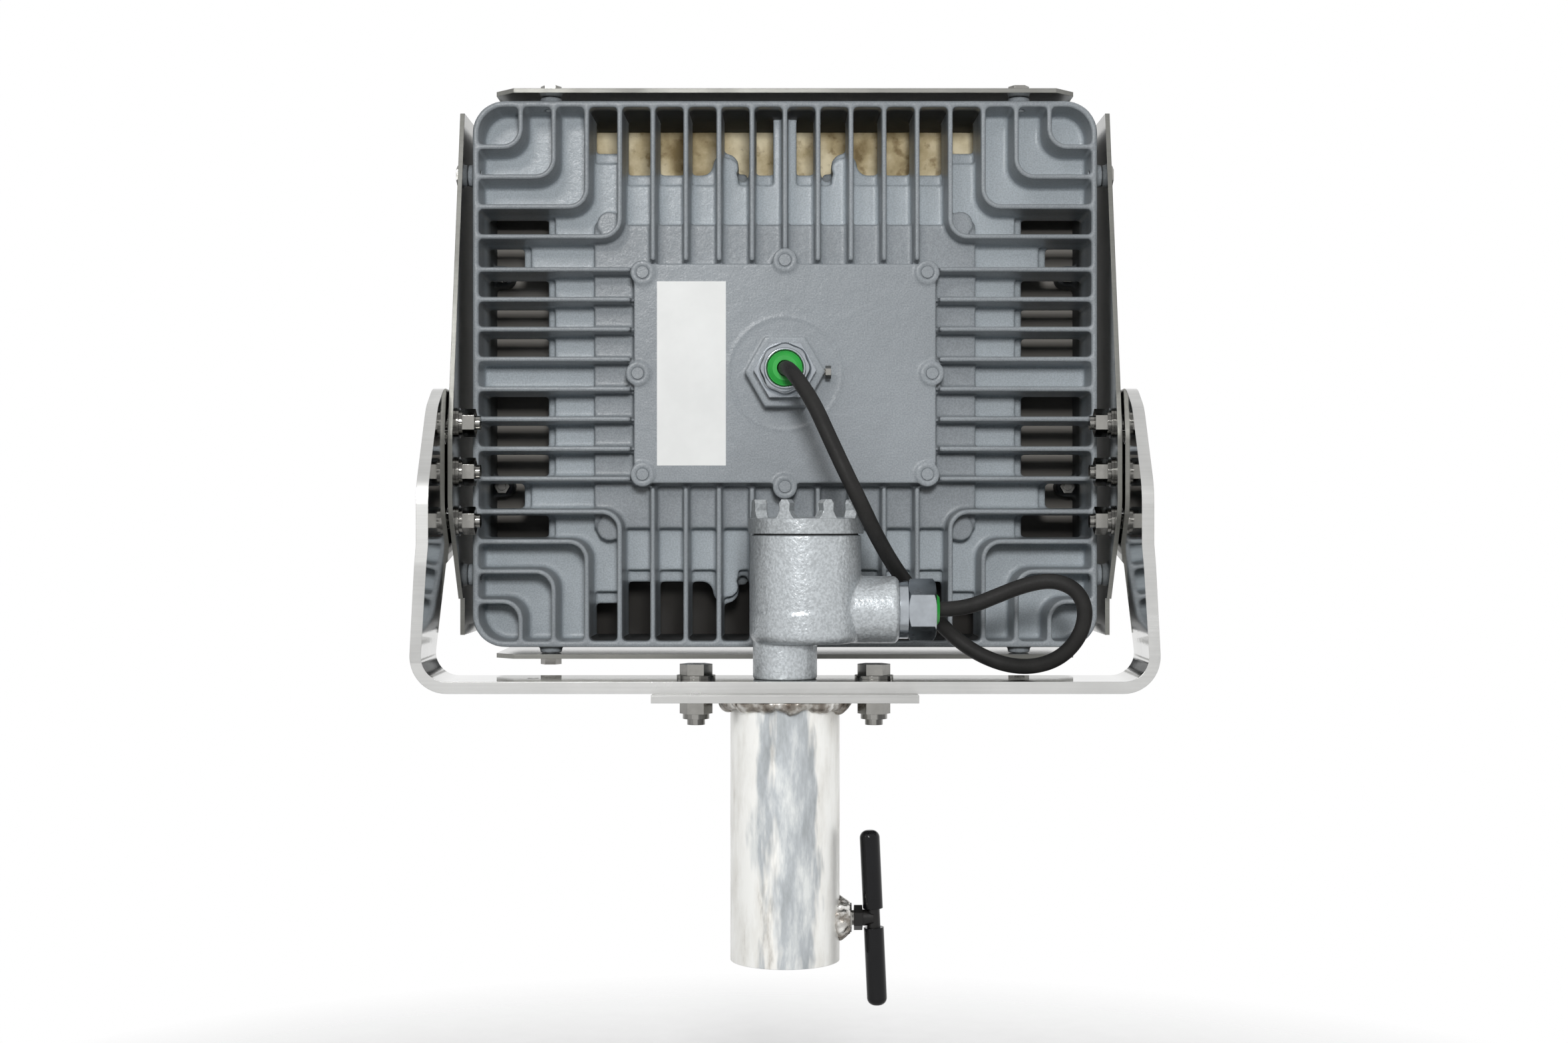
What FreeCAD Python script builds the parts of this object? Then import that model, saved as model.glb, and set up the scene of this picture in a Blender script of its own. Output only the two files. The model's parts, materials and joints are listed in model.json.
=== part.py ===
import FreeCAD, Part
import math
import os
import Sketcher

# Explosion-proof flood light on a pole yoke.
# Millimetres. Origin at the centre of the pole tube's mouth, +Z up, the lamp shines towards +Y.

doc = FreeCAD.newDocument("explosion_proof_light")
sheet = doc.addObject("Spreadsheet::Sheet", "Sizes")
Vector = FreeCAD.Vector

# Driving dimensions, in millimetres, degrees and counts
DIMENSIONS = {
    # pole tube, flange and clamp screw
    "tube_outer_r": 36.5, "tube_bore_r": 31.35, "tube_length": 174.5, "tube_weld_leg": 6.0,
    "pole_stop": 18.5, "pole_stop_r": 29.5,
    "flange_length": 174.0, "flange_width": 88.0, "flange_thick": 5.0,
    "clamp_rise": 27.5, "clamp_r": 5.0, "clamp_clear": 0.1, "clamp_nut_flats": 17.0,
    "clamp_nut_thick": 8.0, "clamp_weld_r": 15.5, "clamp_weld_end_r": 11.0, "clamp_gap": 1.6,
    "tee_head_flats": 14.6, "tee_head_thick": 5.6, "tee_neck_r": 5.4, "tee_bar_r": 4.5, "tee_bar_length": 112.0,
    "tee_reach": 13.0, "tee_lean": 2.6, "grip_r": 6.7, "grip_length": 52.2, "grip_cap": 2.6, "grip_round": 5.2,
    # yoke
    "bar_width": 60.0, "bar_thick": 8.0, "bend_outer_r": 24.0, "ear_gap": 1.0, "lean_out": 8.0,
    "lean_height": 98.0, "lean_r": 60.0, "flare_height": 76.0, "flare_half": 41.0,
    "ear_front": 63.0, "ear_top": 56.5, "ear_drop": 40.0, "shoulder_drop": 56.0, "shoulder_front": 26.0,
    "ear_slope_back": 57.0, "ear_slope_top": 42.0, "ear_knee": 13.0, "ear_crown_back": 30.0,
    "ear_crown_front": 30.0, "ear_cheek": 28.0, "ear_round": 16.0,
    "pivot_height": 139.5, "pivot_forward": 55.0, "lock_radius": 34.0, "tilt_down": 25.0, "tilt_up": 45.0,
    "joint_gap": 0.3, "slot_clear": 0.4, "pivot_clear": 0.05,
    # bolts of the base and of the tilt joint
    "base_bolt_r": 6.0, "base_bolt_x": 59.5, "base_head_flats": 19.0, "base_head_thick": 7.5,
    "base_washer_r": 13.0, "base_washer_thick": 2.3, "base_nut_thick": 11.5, "base_tip": 4.0,
    "tilt_bolt_r": 5.0, "tilt_head_flats": 17.0, "tilt_head_thick": 6.4, "tilt_washer_r": 10.5,
    "tilt_washer_thick": 2.0, "lock_washer_r": 9.0, "lock_washer_thick": 2.5, "tilt_nut_thick": 8.4,
    "tilt_tip": 3.4, "hole_clear": 0.25,
    # conduit box on the yoke
    "entry_hole_r": 13.6, "nipple_r": 13.3, "nipple_bore_r": 10.4, "nipple_into_box": 15.0,
    "nipple_below": 11.0, "locknut_flats": 36.0, "locknut_thick": 6.0,
    "box_shift": 14.0, "box_r": 37.0, "box_wall": 5.0, "hub_r": 21.5, "hub_height": 24.0,
    "box_height": 72.0, "cover_r": 38.6, "cover_band": 10.0, "cover_crown": 1.2, "lug_height": 12.5,
    "lug_width": 7.5, "lug_foot": 3.5, "lug_radial": 9.0, "lug_count": 8, "foot_round": 7.0, "hub_round": 2.5,
    "ledge_proud": 0.7, "ledge_rise": 20.5, "cover_skirt": 9.0, "cover_clear": 0.1, "o_ring_r": 0.5,
    "side_hub_r": 22.5, "side_hub_reach": 62.0, "side_hub_rise": 22.0, "side_bore_r": 13.4,
    # cord glands, one on the box and one on the lamp
    "gland_collar_r": 19.4, "gland_collar": 6.0, "gland_nut_flats": 36.0, "gland_nut": 18.5, "gland_bevel": 1.6,
    "gland_shank": 14.0, "head_body_flats": 38.0, "head_body": 14.0, "head_nut_r": 18.3, "head_nut": 16.0,
    "bushing_r": 12.0, "bushing_lip": 2.6, "bushing_depth": 10.0, "cord_r": 5.15,
    # lamp housing
    "lamp_rise": 70.8, "lamp_forward": 39.0, "lamp_width": 446.0, "lamp_height": 390.0, "lamp_corner_r": 23.0,
    "rim_wall": 4.3, "rim_depth": 103.0, "fin_crest": 3.5, "fin_root": 5.5, "fin_depth": 56.0,
    "corner_inset_x": 34.2, "corner_inset_z": 32.75, "corner_row": 98.2, "elbow_r": 13.0,
    "step1_half_x": 109.0, "step1_half_z": 79.5, "step1_drop": 14.0,
    "step2_half_x": 138.0, "step2_half_z": 110.0, "step2_drop": 24.0,
    "step3_half_x": 168.0, "step3_half_z": 140.6, "step3_drop": 38.0, "floor_thick": 10.0,
    "bay_floor_z": 156.6, "row_floor_x": 185.7, "centre_web": 17.0,
    "lip_x": 6.0, "lip_z": 9.0, "lip_thick": 12.0, "lip_round": 6.0,
    "finger_x": 42.0, "finger_width": 16.0, "finger_rise": 4.0, "finger_lip": 3.0, "cove_r": 8.0,
    "notch_r": 4.2, "notch_x": 31.0, "notch_z": 149.3, "stud_r": 3.2,
    "corner_pad_x": 127.0, "corner_pad_z": 110.0, "corner_pad_r": 9.0, "corner_pad_proud": 2.5,
    "bay_half_x": 95.0, "bay_half_z": 62.0, "bay_depth": 50.0, "partition": 8.0,
    "chamber_half_x": 150.0, "chamber_half_z": 122.6, "glass_margin": 10.0, "glass_clear": 0.6,
    "glass_seat": 9.0, "gasket_thick": 2.0, "frame_thick": 6.0, "window_half_x": 148.0, "window_half_z": 120.0,
    "window_round": 8.0, "post_inset": 33.0, "post_r": 8.0, "boss_inset": 11.0, "boss_z": 79.0,
    "boss_depth": 22.0, "frame_screw_r": 3.0, "frame_head_r": 5.2, "frame_head": 4.0, "frame_nut_flats": 10.0,
    "frame_nut": 5.0, "frame_tip": 2.0, "post_thread": 24.0,
    # rear cover
    "cover_half_x": 107.3, "cover_half_z": 78.0, "cover_round": 10.0, "cover_thick": 9.5, "seat_drop": 6.0,
    "cover_gasket": 1.5, "lobe_r": 8.7, "lobe_x": 101.3, "lobe_z": 71.8, "lobe_side_x": 104.7,
    "lobe_top_z": 80.5, "lobe_proud": 1.5, "cover_screw_r": 2.5, "cover_head_r": 4.2, "cover_head": 2.6,
    "cover_screw_length": 22.0, "cover_counterbore": 2.0,
    "ring_r": 41.0, "ring_width": 1.4, "ring_proud": 0.4, "head_hub_flats": 49.0, "head_hub": 22.0,
    "set_screw_flats": 8.0, "set_screw_head": 4.0, "set_screw_r": 2.5, "set_screw_depth": 8.0,
    "label_width": 49.0, "label_height": 131.0, "label_left": 91.0, "label_thick": 0.3,
    # guard plates
    "guard_thick": 3.2, "guard_gap": 4.8, "guard_back": 4.0, "guard_front": 108.0, "guard_half_x": 207.0,
    "guard_bevel": 14.0, "side_guard_bottom": 186.0, "side_guard_top": 185.0, "ear_reach": 61.0,
    "ear_rise": 26.0, "ear_foot": 88.0, "guard_foot": 26.0, "guard_round": 30.0, "guard_bolt_x": 168.5,
    "guard_bolt_z": 143.6, "guard_bolt_y": 16.0, "guard_bolt_r": 4.0, "guard_head_flats": 13.0,
    "guard_head": 5.0, "pad_r": 8.0,
    # light engine
    "board_half_x": 140.0, "board_half_z": 112.0, "board_thick": 3.0, "emitter_columns": 10, "emitter_rows": 8,
    "emitter_size": 9.0, "emitter_thick": 2.4, "driver_half_x": 58.0, "driver_half_z": 36.0, "driver_thick": 32.0,
    "driver_tab": 8.0, "driver_tab_thick": 3.0, "terminal_x": 80.0, "terminal_width": 16.0,
    "terminal_height": 62.0, "terminal_thick": 18.0, "screw_m4_r": 2.0, "screw_m4_head_r": 3.6, "screw_m4_head": 2.6,
    "screw_m4_depth": 5.0,
}


class Size:
    """A length that knows its number and the sheet expression that gives it."""

    def __init__(self, value, text):
        self.value = float(value)
        self.text = text

    def __add__(self, other):
        other = as_size(other)
        return Size(self.value + other.value, "(%s + %s)" % (self.text, other.text))

    def __sub__(self, other):
        other = as_size(other)
        return Size(self.value - other.value, "(%s - %s)" % (self.text, other.text))

    def __mul__(self, factor):
        factor = as_size(factor)
        return Size(self.value * factor.value, "(%s * %s)" % (self.text, factor.text))

    def __truediv__(self, factor):
        factor = as_size(factor)
        return Size(self.value / factor.value, "(%s / %s)" % (self.text, factor.text))

    def __neg__(self):
        return Size(-self.value, "(0 - %s)" % self.text)

    def __radd__(self, other):
        return as_size(other) + self

    def __rsub__(self, other):
        return as_size(other) - self

    def __rmul__(self, other):
        return as_size(other) * self


def as_size(number):
    return number if isinstance(number, Size) else Size(number, "%.9f" % number)


class Names:
    pass


s = Names()
for row, (alias, number) in enumerate(DIMENSIONS.items(), start=1):
    sheet.set("A%d" % row, alias)
    sheet.set("B%d" % row, str(number))
    sheet.setAlias("B%d" % row, alias)
    setattr(s, alias, Size(number, "Sizes.%s" % alias))
doc.recompute()

# Turns the local +Z of a primitive to a direction of the part's frame
TURN = {
    "z": FreeCAD.Rotation(),
    "-z": FreeCAD.Rotation(Vector(1, 0, 0), 180),
    "x": FreeCAD.Rotation(Vector(0, 1, 0), 90),
    "-x": FreeCAD.Rotation(Vector(0, 1, 0), -90),
    "y": FreeCAD.Rotation(Vector(1, 0, 0), -90),
    "-y": FreeCAD.Rotation(Vector(1, 0, 0), 90),
}
COS30 = math.cos(math.radians(30))
nodes = {}


def bind(thing, prop, size):
    thing.setExpression(prop, as_size(size).text)


def place(thing, x, y, z, axis="z"):
    thing.Placement = FreeCAD.Placement(Vector(), TURN[axis])
    for prop, size in zip("xyz", (x, y, z)):
        bind(thing, "Placement.Base." + prop, size)
    return thing


def node(label, thing):
    thing.Label = label
    nodes[label] = thing
    return thing


# Primitives

def box(x0, x1, y0, y1, z0, z1):
    thing = doc.addObject("Part::Box", "Block")
    bind(thing, "Length", as_size(x1) - x0)
    bind(thing, "Width", as_size(y1) - y0)
    bind(thing, "Height", as_size(z1) - z0)
    return place(thing, x0, y0, z0)


def rod(radius, length, x, y, z, axis="z"):
    thing = doc.addObject("Part::Cylinder", "Rod")
    bind(thing, "Radius", radius)
    bind(thing, "Height", length)
    return place(thing, x, y, z, axis)


def cone(radius1, radius2, length, x, y, z, axis="z"):
    thing = doc.addObject("Part::Cone", "Cone")
    bind(thing, "Radius1", radius1)
    bind(thing, "Radius2", radius2)
    bind(thing, "Height", length)
    return place(thing, x, y, z, axis)


def hexagon(flats, length, x, y, z, axis="z"):
    thing = doc.addObject("Part::Prism", "Hexagon")
    thing.Polygon = 6
    bind(thing, "Circumradius", as_size(flats) / (2 * COS30))
    bind(thing, "Height", length)
    return place(thing, x, y, z, axis)


def fuse(*things):
    thing = doc.addObject("Part::MultiFuse", "Joined")
    thing.Shapes = list(things)
    thing.Refine = True
    return thing


def cut(base, *tools):
    thing = doc.addObject("Part::Cut", "Trimmed")
    thing.Base = base
    thing.Tool = tools[0] if len(tools) == 1 else fuse(*tools)
    thing.Refine = True
    return thing


def common(first, second):
    thing = doc.addObject("Part::Common", "Shared")
    thing.Base = first
    thing.Tool = second
    return thing


def group(*things):
    thing = doc.addObject("Part::Compound", "Group")
    thing.Links = list(things)
    return thing


def mirror_x(thing):
    twin = doc.addObject("Part::Mirroring", "Mirror")
    twin.Source = thing
    twin.Normal = Vector(1, 0, 0)
    return twin


def mirror_z(thing, height):
    twin = doc.addObject("Part::Mirroring", "Mirror")
    twin.Source = thing
    twin.Normal = Vector(0, 0, 1)
    bind(twin, "Base.z", height)
    return twin


def round_edges(thing, direction, spots):
    """Fillet the straight edges along a direction that pass the named spots of the two other axes."""
    doc.recompute()
    axis = "xyz".index(direction)
    keep = [i for i in range(3) if i != axis]
    rounded = doc.addObject("Part::Fillet", "Rounded")
    rounded.Base = thing
    picks = []
    for number, edge in enumerate(thing.Shape.Edges, start=1):
        ends = [vertex.Point for vertex in edge.Vertexes]
        if len(ends) != 2:
            continue
        if any(abs(ends[0][i] - ends[1][i]) > 1e-6 for i in keep):
            continue
        for first, second, radius in spots:
            spot = (as_size(first).value, as_size(second).value)
            if all(abs(ends[0][i] - at) < 1e-4 for i, at in zip(keep, spot)):
                picks.append((number, as_size(radius).value, as_size(radius).value))
    rounded.Edges = picks
    return rounded


# Bodies with sketches

PLANES = {"XY": "XY_Plane", "XZ": "XZ_Plane", "YZ": "YZ_Plane"}


def add_polygon(sketch, points):
    first = sketch.GeometryCount
    count = len(points)
    flat = [(as_size(u), as_size(v)) for u, v in points]
    for i in range(count):
        start, end = flat[i], flat[(i + 1) % count]
        sketch.addGeometry(Part.LineSegment(Vector(start[0].value, start[1].value, 0),
                                            Vector(end[0].value, end[1].value, 0)), False)
    for i in range(count):
        sketch.addConstraint(Sketcher.Constraint("Coincident", first + i, 2, first + (i + 1) % count, 1))
    for i, (u, v) in enumerate(flat):
        for kind, size in (("DistanceX", u), ("DistanceY", v)):
            index = sketch.addConstraint(Sketcher.Constraint(kind, -1, 1, first + i, 1, size.value))
            sketch.setExpression("Constraints[%d]" % index, size.text)


def add_circle(sketch, u, v, radius):
    u, v, radius = as_size(u), as_size(v), as_size(radius)
    circle = Part.Circle(Vector(u.value, v.value, 0), Vector(0, 0, 1), radius.value)
    number = sketch.addGeometry(circle, False)
    for kind, size in (("DistanceX", u), ("DistanceY", v)):
        index = sketch.addConstraint(Sketcher.Constraint(kind, -1, 1, number, 3, size.value))
        sketch.setExpression("Constraints[%d]" % index, size.text)
    index = sketch.addConstraint(Sketcher.Constraint("Radius", number, radius.value))
    sketch.setExpression("Constraints[%d]" % index, radius.text)


def make_sketch(body, plane, level, polygons=(), circles=()):
    """A sketch at a level along the plane's axis: Z for XY, Y for XZ, X for YZ."""
    sketch = body.newObject("Sketcher::SketchObject", "Outline")
    role = PLANES[plane]
    support = [feature for feature in body.Origin.OriginFeatures if feature.Role == role][0]
    sketch.AttachmentSupport = (support, [""])
    sketch.MapMode = "FlatFace"
    offset = -as_size(level) if plane == "XZ" else as_size(level)
    bind(sketch, "AttachmentOffset.Base.z", offset)
    for points in polygons:
        add_polygon(sketch, points)
    for circle in circles:
        add_circle(sketch, *circle)
    return sketch


def plate(plane, low, high, polygons=(), circles=()):
    """A body padded from one level to another along the axis of its sketch plane."""
    body = doc.addObject("PartDesign::Body", "Plate")
    start = high if plane == "XZ" else low
    pad = body.newObject("PartDesign::Pad", "Pad")
    pad.Profile = make_sketch(body, plane, start, polygons, circles)
    bind(pad, "Length", as_size(high) - low)
    body.Tip = pad
    return body


def turned(profile, x, y, z, axis):
    """A body turned about its own axis from points given as radius and height."""
    body = doc.addObject("PartDesign::Body", "Turned")
    sketch = make_sketch(body, "XZ", 0, [profile])
    revolution = body.newObject("PartDesign::Revolution", "Revolution")
    revolution.Profile = sketch
    revolution.ReferenceAxis = (sketch, ["V_Axis"])
    revolution.Angle = 360
    body.Tip = revolution
    return place(body, x, y, z, axis)


def rectangle(half_u, half_v, mid_u=0, mid_v=0):
    low_u, high_u = as_size(mid_u) - half_u, as_size(mid_u) + half_u
    low_v, high_v = as_size(mid_v) - half_v, as_size(mid_v) + half_v
    return [(low_u, low_v), (high_u, low_v), (high_u, high_v), (low_u, high_v)]


def rounded_block(half_x, half_z, radius, y0, y1):
    """A block centred on the lamp with its four long edges rounded."""
    block = box(-half_x, half_x, y0, y1, lamp_z - half_z, lamp_z + half_z)
    corners = [(side * half_x, lamp_z + up * half_z, radius) for side in (-1, 1) for up in (-1, 1)]
    return round_edges(block, "y", corners)


# Levels shared by several pieces
s.column_pitch = (s.lamp_width / 2 - s.corner_inset_x) / 8
s.row_pitch = (s.lamp_height / 2 - s.corner_inset_z - s.corner_row) / 3
s.post_x, s.post_z = s.lamp_width / 2 - s.post_inset, s.lamp_height / 2 - s.post_inset
s.boss_x = s.lamp_width / 2 - s.boss_inset
s.ear_half = s.lamp_width / 2 + s.guard_gap + s.guard_thick + s.ear_gap + s.bar_thick
s.yoke_half = s.ear_half + s.lean_out
bar_low = s.tube_length + s.flange_thick
bar_top = bar_low + s.bar_thick
pivot_z = bar_top + s.pivot_height
pivot_y = s.pivot_forward
lamp_z = pivot_z + s.lamp_rise
rim_y = pivot_y + s.lamp_forward
front_y = rim_y + s.rim_depth
ear_inner = s.ear_half - s.bar_thick


# Pole tube, flange, welds and clamp nut

def make_pole_fitter():
    stop_z = s.tube_length - s.pole_stop
    tube = turned([(s.tube_bore_r, 0), (s.tube_outer_r, 0), (s.tube_outer_r, s.tube_length),
                   (s.pole_stop_r, s.tube_length), (s.pole_stop_r, stop_z), (s.tube_bore_r, stop_z)], 0, 0, 0, "z")
    hole = rod(s.clamp_r + s.clamp_clear, s.tube_outer_r, 0, 0, s.clamp_rise, "x")
    node("slip_fitter_tube", cut(tube, hole))
    holes = [(side * s.base_bolt_x, 0, s.base_bolt_r + s.hole_clear) for side in (-1, 1)]
    holes.append((0, 0, s.entry_hole_r))
    outline = rectangle(s.flange_length / 2, s.flange_width / 2)
    node("flange_plate", plate("XY", s.tube_length, bar_low, [outline], holes))
    leg = s.tube_weld_leg
    bead = turned([(s.tube_outer_r, 0), (s.tube_outer_r + leg, 0), (s.tube_outer_r + leg * 0.62, -leg * 0.5),
                   (s.tube_outer_r, -leg * 1.35)], 0, 0, s.tube_length, "z")
    node("tube_weld", bead)
    nut_end = s.tube_outer_r + s.clamp_nut_thick
    nut = hexagon(s.clamp_nut_flats, nut_end, 0, 0, s.clamp_rise, "x")
    barrel = rod(s.tube_outer_r, s.tube_length, 0, 0, 0)
    thread = rod(s.clamp_r + s.clamp_clear, nut_end * 2, 0, 0, s.clamp_rise, "x")
    node("clamp_nut", cut(nut, barrel, thread))
    slope = (s.clamp_weld_r - s.clamp_weld_end_r) / s.clamp_nut_thick
    sunk = s.tube_outer_r - s.tube_weld_leg
    lump = cone(s.clamp_weld_r + slope * s.tube_weld_leg, s.clamp_weld_end_r, nut_end - 1 - sunk, sunk, 0,
                s.clamp_rise, "x")
    core = hexagon(s.clamp_nut_flats, nut_end, 0, 0, s.clamp_rise, "x")
    node("clamp_nut_weld", cut(lump, rod(s.tube_outer_r, s.tube_length, 0, 0, 0), core))
    return nut_end


# Clamp screw and its tee handle

def make_clamp(nut_end):
    head_start = nut_end + s.clamp_gap
    node("clamp_screw", rod(s.clamp_r, head_start - s.tube_bore_r, s.tube_bore_r, 0, s.clamp_rise, "x"))
    bar_x = head_start + s.tee_reach

    def leaning(radius, start, length):
        lean = FreeCAD.Rotation(Vector(0, 1, 0), -DIMENSIONS["tee_lean"])
        thing = doc.addObject("Part::Cylinder", "Rod")
        bind(thing, "Radius", radius)
        bind(thing, "Height", length)
        thing.Placement = FreeCAD.Placement(Vector(), lean)
        slope = "tan(%s * 1 deg)" % s.tee_lean.text
        bind(thing, "Placement.Base.x", bar_x)
        thing.setExpression("Placement.Base.x", "%s - %s * %s" % (bar_x.text, as_size(start).text, slope))
        bind(thing, "Placement.Base.z", s.clamp_rise + start)
        return thing

    half = s.tee_bar_length / 2
    head = fuse(hexagon(s.tee_head_flats, s.tee_head_thick, head_start, 0, s.clamp_rise, "x"),
                rod(s.tee_neck_r, s.tee_reach, head_start, 0, s.clamp_rise, "x"))
    node("tee_head", cut(head, leaning(s.tee_bar_r, -half, half * 2)))
    node("tee_crossbar", leaning(s.tee_bar_r, -half, half * 2))
    for label, up in (("lower_grip", -1), ("upper_grip", 1)):
        outer = half + s.grip_cap
        start = -outer if up < 0 else outer - s.grip_length
        sleeve = leaning(s.grip_r, start, s.grip_length)
        node(label, cut(round_end(sleeve, up), leaning(s.tee_bar_r, -half, half * 2)))


def round_end(sleeve, up):
    """Round the outer rim of a grip, the one that is furthest up or down."""
    doc.recompute()
    rims = [(edge.CenterOfMass.z * up, number) for number, edge in enumerate(sleeve.Shape.Edges, start=1)
            if edge.Curve.TypeId == "Part::GeomCircle"]
    rounded = doc.addObject("Part::Fillet", "Rounded")
    rounded.Base = sleeve
    rounded.Edges = [(max(rims)[1], s.grip_round.value, s.grip_round.value)]
    return rounded


# Yoke: a bent bar with two ears that reach forward to the tilt axis

def make_yoke():
    arm_inner = s.yoke_half - s.bar_thick
    ear_z = bar_low + s.lean_height
    top = pivot_z + s.ear_top
    inner_end = s.ear_half - s.bar_thick
    profile = [(-s.yoke_half, bar_low), (s.yoke_half, bar_low), (s.ear_half, ear_z), (s.ear_half, top),
               (inner_end, top), (inner_end, ear_z), (arm_inner, bar_top), (-arm_inner, bar_top),
               (-inner_end, ear_z), (-inner_end, top), (-s.ear_half, top), (-s.ear_half, ear_z)]
    reach = s.ear_front + s.pivot_forward
    strip = plate("XZ", -reach, reach, [profile])
    spots = []
    for side in (-1, 1):
        spots.append((side * s.yoke_half, bar_low, s.bend_outer_r))
        spots.append((side * arm_inner, bar_top, s.bend_outer_r - s.bar_thick))
        spots.append((side * s.ear_half, ear_z, s.lean_r + s.bar_thick))
        spots.append((side * inner_end, ear_z, s.lean_r))
    bent = round_edges(strip, "y", spots)

    half = s.bar_width / 2
    flare_z = bar_top + s.flare_height
    outline = [(-half, bar_low), (half, bar_low), (half, bar_top + s.bar_width / 5), (s.flare_half, flare_z),
               (pivot_y + s.shoulder_front, pivot_z - s.shoulder_drop),
               (pivot_y + s.ear_front, pivot_z - s.ear_drop), (pivot_y + s.ear_front, pivot_z + s.ear_cheek),
               (pivot_y + s.ear_crown_front, top), (pivot_y - s.ear_crown_back, top),
               (pivot_y - s.ear_slope_back, pivot_z + s.ear_slope_top),
               (-s.flare_half, pivot_z - s.ear_knee), (-s.flare_half, flare_z),
               (-half, bar_top + s.bar_width / 5)]
    side = plate("YZ", -s.yoke_half * 1.1, s.yoke_half * 1.1, [outline])
    corners = [(pivot_y + s.ear_front, pivot_z - s.ear_drop, s.ear_round),
               (pivot_y + s.ear_front, pivot_z + s.ear_cheek, s.ear_round),
               (pivot_y + s.ear_crown_front, top, s.ear_round),
               (pivot_y - s.ear_crown_back, top, s.ear_round * 2),
               (pivot_y - s.ear_slope_back, pivot_z + s.ear_slope_top, s.ear_round * 2),
               (-s.flare_half, pivot_z - s.ear_knee, s.ear_round * 2),
               (-s.flare_half, flare_z, s.ear_round * 2)]
    blank = common(bent, round_edges(side, "x", corners))

    tools = [rod(s.entry_hole_r, s.bar_thick * 2, 0, 0, bar_low - s.bar_thick / 2)]
    for turn in (-1, 1):
        tools.append(rod(s.base_bolt_r + s.hole_clear, s.bar_thick * 2, turn * s.base_bolt_x, 0,
                         bar_low - s.bar_thick / 2))
    tools.append(rod(s.base_bolt_r * 0.7, s.bar_thick * 2, -s.guard_bolt_x, 0, bar_low - s.bar_thick / 2))
    tools.append(rod(s.tilt_bolt_r + s.pivot_clear, s.yoke_half * 2.2, -s.yoke_half * 1.1, pivot_y, pivot_z, "x"))
    slot_half = s.tilt_bolt_r + s.slot_clear
    for middle in (90, 270):
        tools.append(arc_slot(middle, slot_half))
    node("yoke", cut(blank, *tools))


def arc_slot(middle, slot_half):
    """A round-ended slot about the tilt axis, through both ears, as long as the tilt range."""
    sweep = s.tilt_up + s.tilt_down
    ring = doc.addObject("Part::Cylinder", "Rod")
    core = doc.addObject("Part::Cylinder", "Rod")
    for thing, radius in ((ring, s.lock_radius + slot_half), (core, s.lock_radius - slot_half)):
        bind(thing, "Radius", radius)
        bind(thing, "Height", s.yoke_half * 2.2)
        bind(thing, "Angle", sweep)
        start = middle - DIMENSIONS["tilt_down"]
        turn = FreeCAD.Rotation(Vector(1, 0, 0), start).multiply(
            FreeCAD.Rotation(Vector(0, 1, 0), 90).multiply(FreeCAD.Rotation(Vector(0, 0, 1), 90)))
        thing.Placement = FreeCAD.Placement(Vector(), turn)
        for prop, size in zip("xyz", (-s.yoke_half * 1.1, pivot_y, pivot_z)):
            bind(thing, "Placement.Base." + prop, size)
    parts = [cut(ring, core)]
    for angle in (-s.tilt_down, s.tilt_up):
        direction = math.radians(middle + angle.value)
        parts.append(rod(slot_half, s.yoke_half * 2.2, -s.yoke_half * 1.1,
                         pivot_y + s.lock_radius * math.cos(direction),
                         pivot_z + s.lock_radius * math.sin(direction), "x"))
    return fuse(*parts)


def make_base_bolts():
    bolts, washers, nuts = [], [], []
    top = bar_top + s.base_washer_thick
    foot = s.tube_length - s.base_washer_thick
    for side in (-1, 1):
        x = side * s.base_bolt_x
        low = foot - s.base_nut_thick - s.base_tip
        bolts.append(fuse(rod(s.base_bolt_r, top - low, x, 0, low),
                          hexagon(s.base_head_flats, s.base_head_thick, x, 0, top)))
        for level in (bar_top, foot):
            washers.append(cut(rod(s.base_washer_r, s.base_washer_thick, x, 0, level),
                               rod(s.base_bolt_r, s.base_washer_thick, x, 0, level)))
        nut = fuse(hexagon(s.base_head_flats, s.base_nut_thick * 0.7, x, 0, foot - s.base_nut_thick * 0.7),
                   rod(s.base_head_flats * 0.47, s.base_nut_thick, x, 0, foot - s.base_nut_thick))
        nuts.append(cut(nut, rod(s.base_bolt_r, s.base_nut_thick, x, 0, foot - s.base_nut_thick)))
    node("base_bolts", group(*bolts))
    node("base_washers", group(*washers))
    node("base_nuts", group(*nuts))


# Conduit box with its screw cover, nipple and locknut

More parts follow.
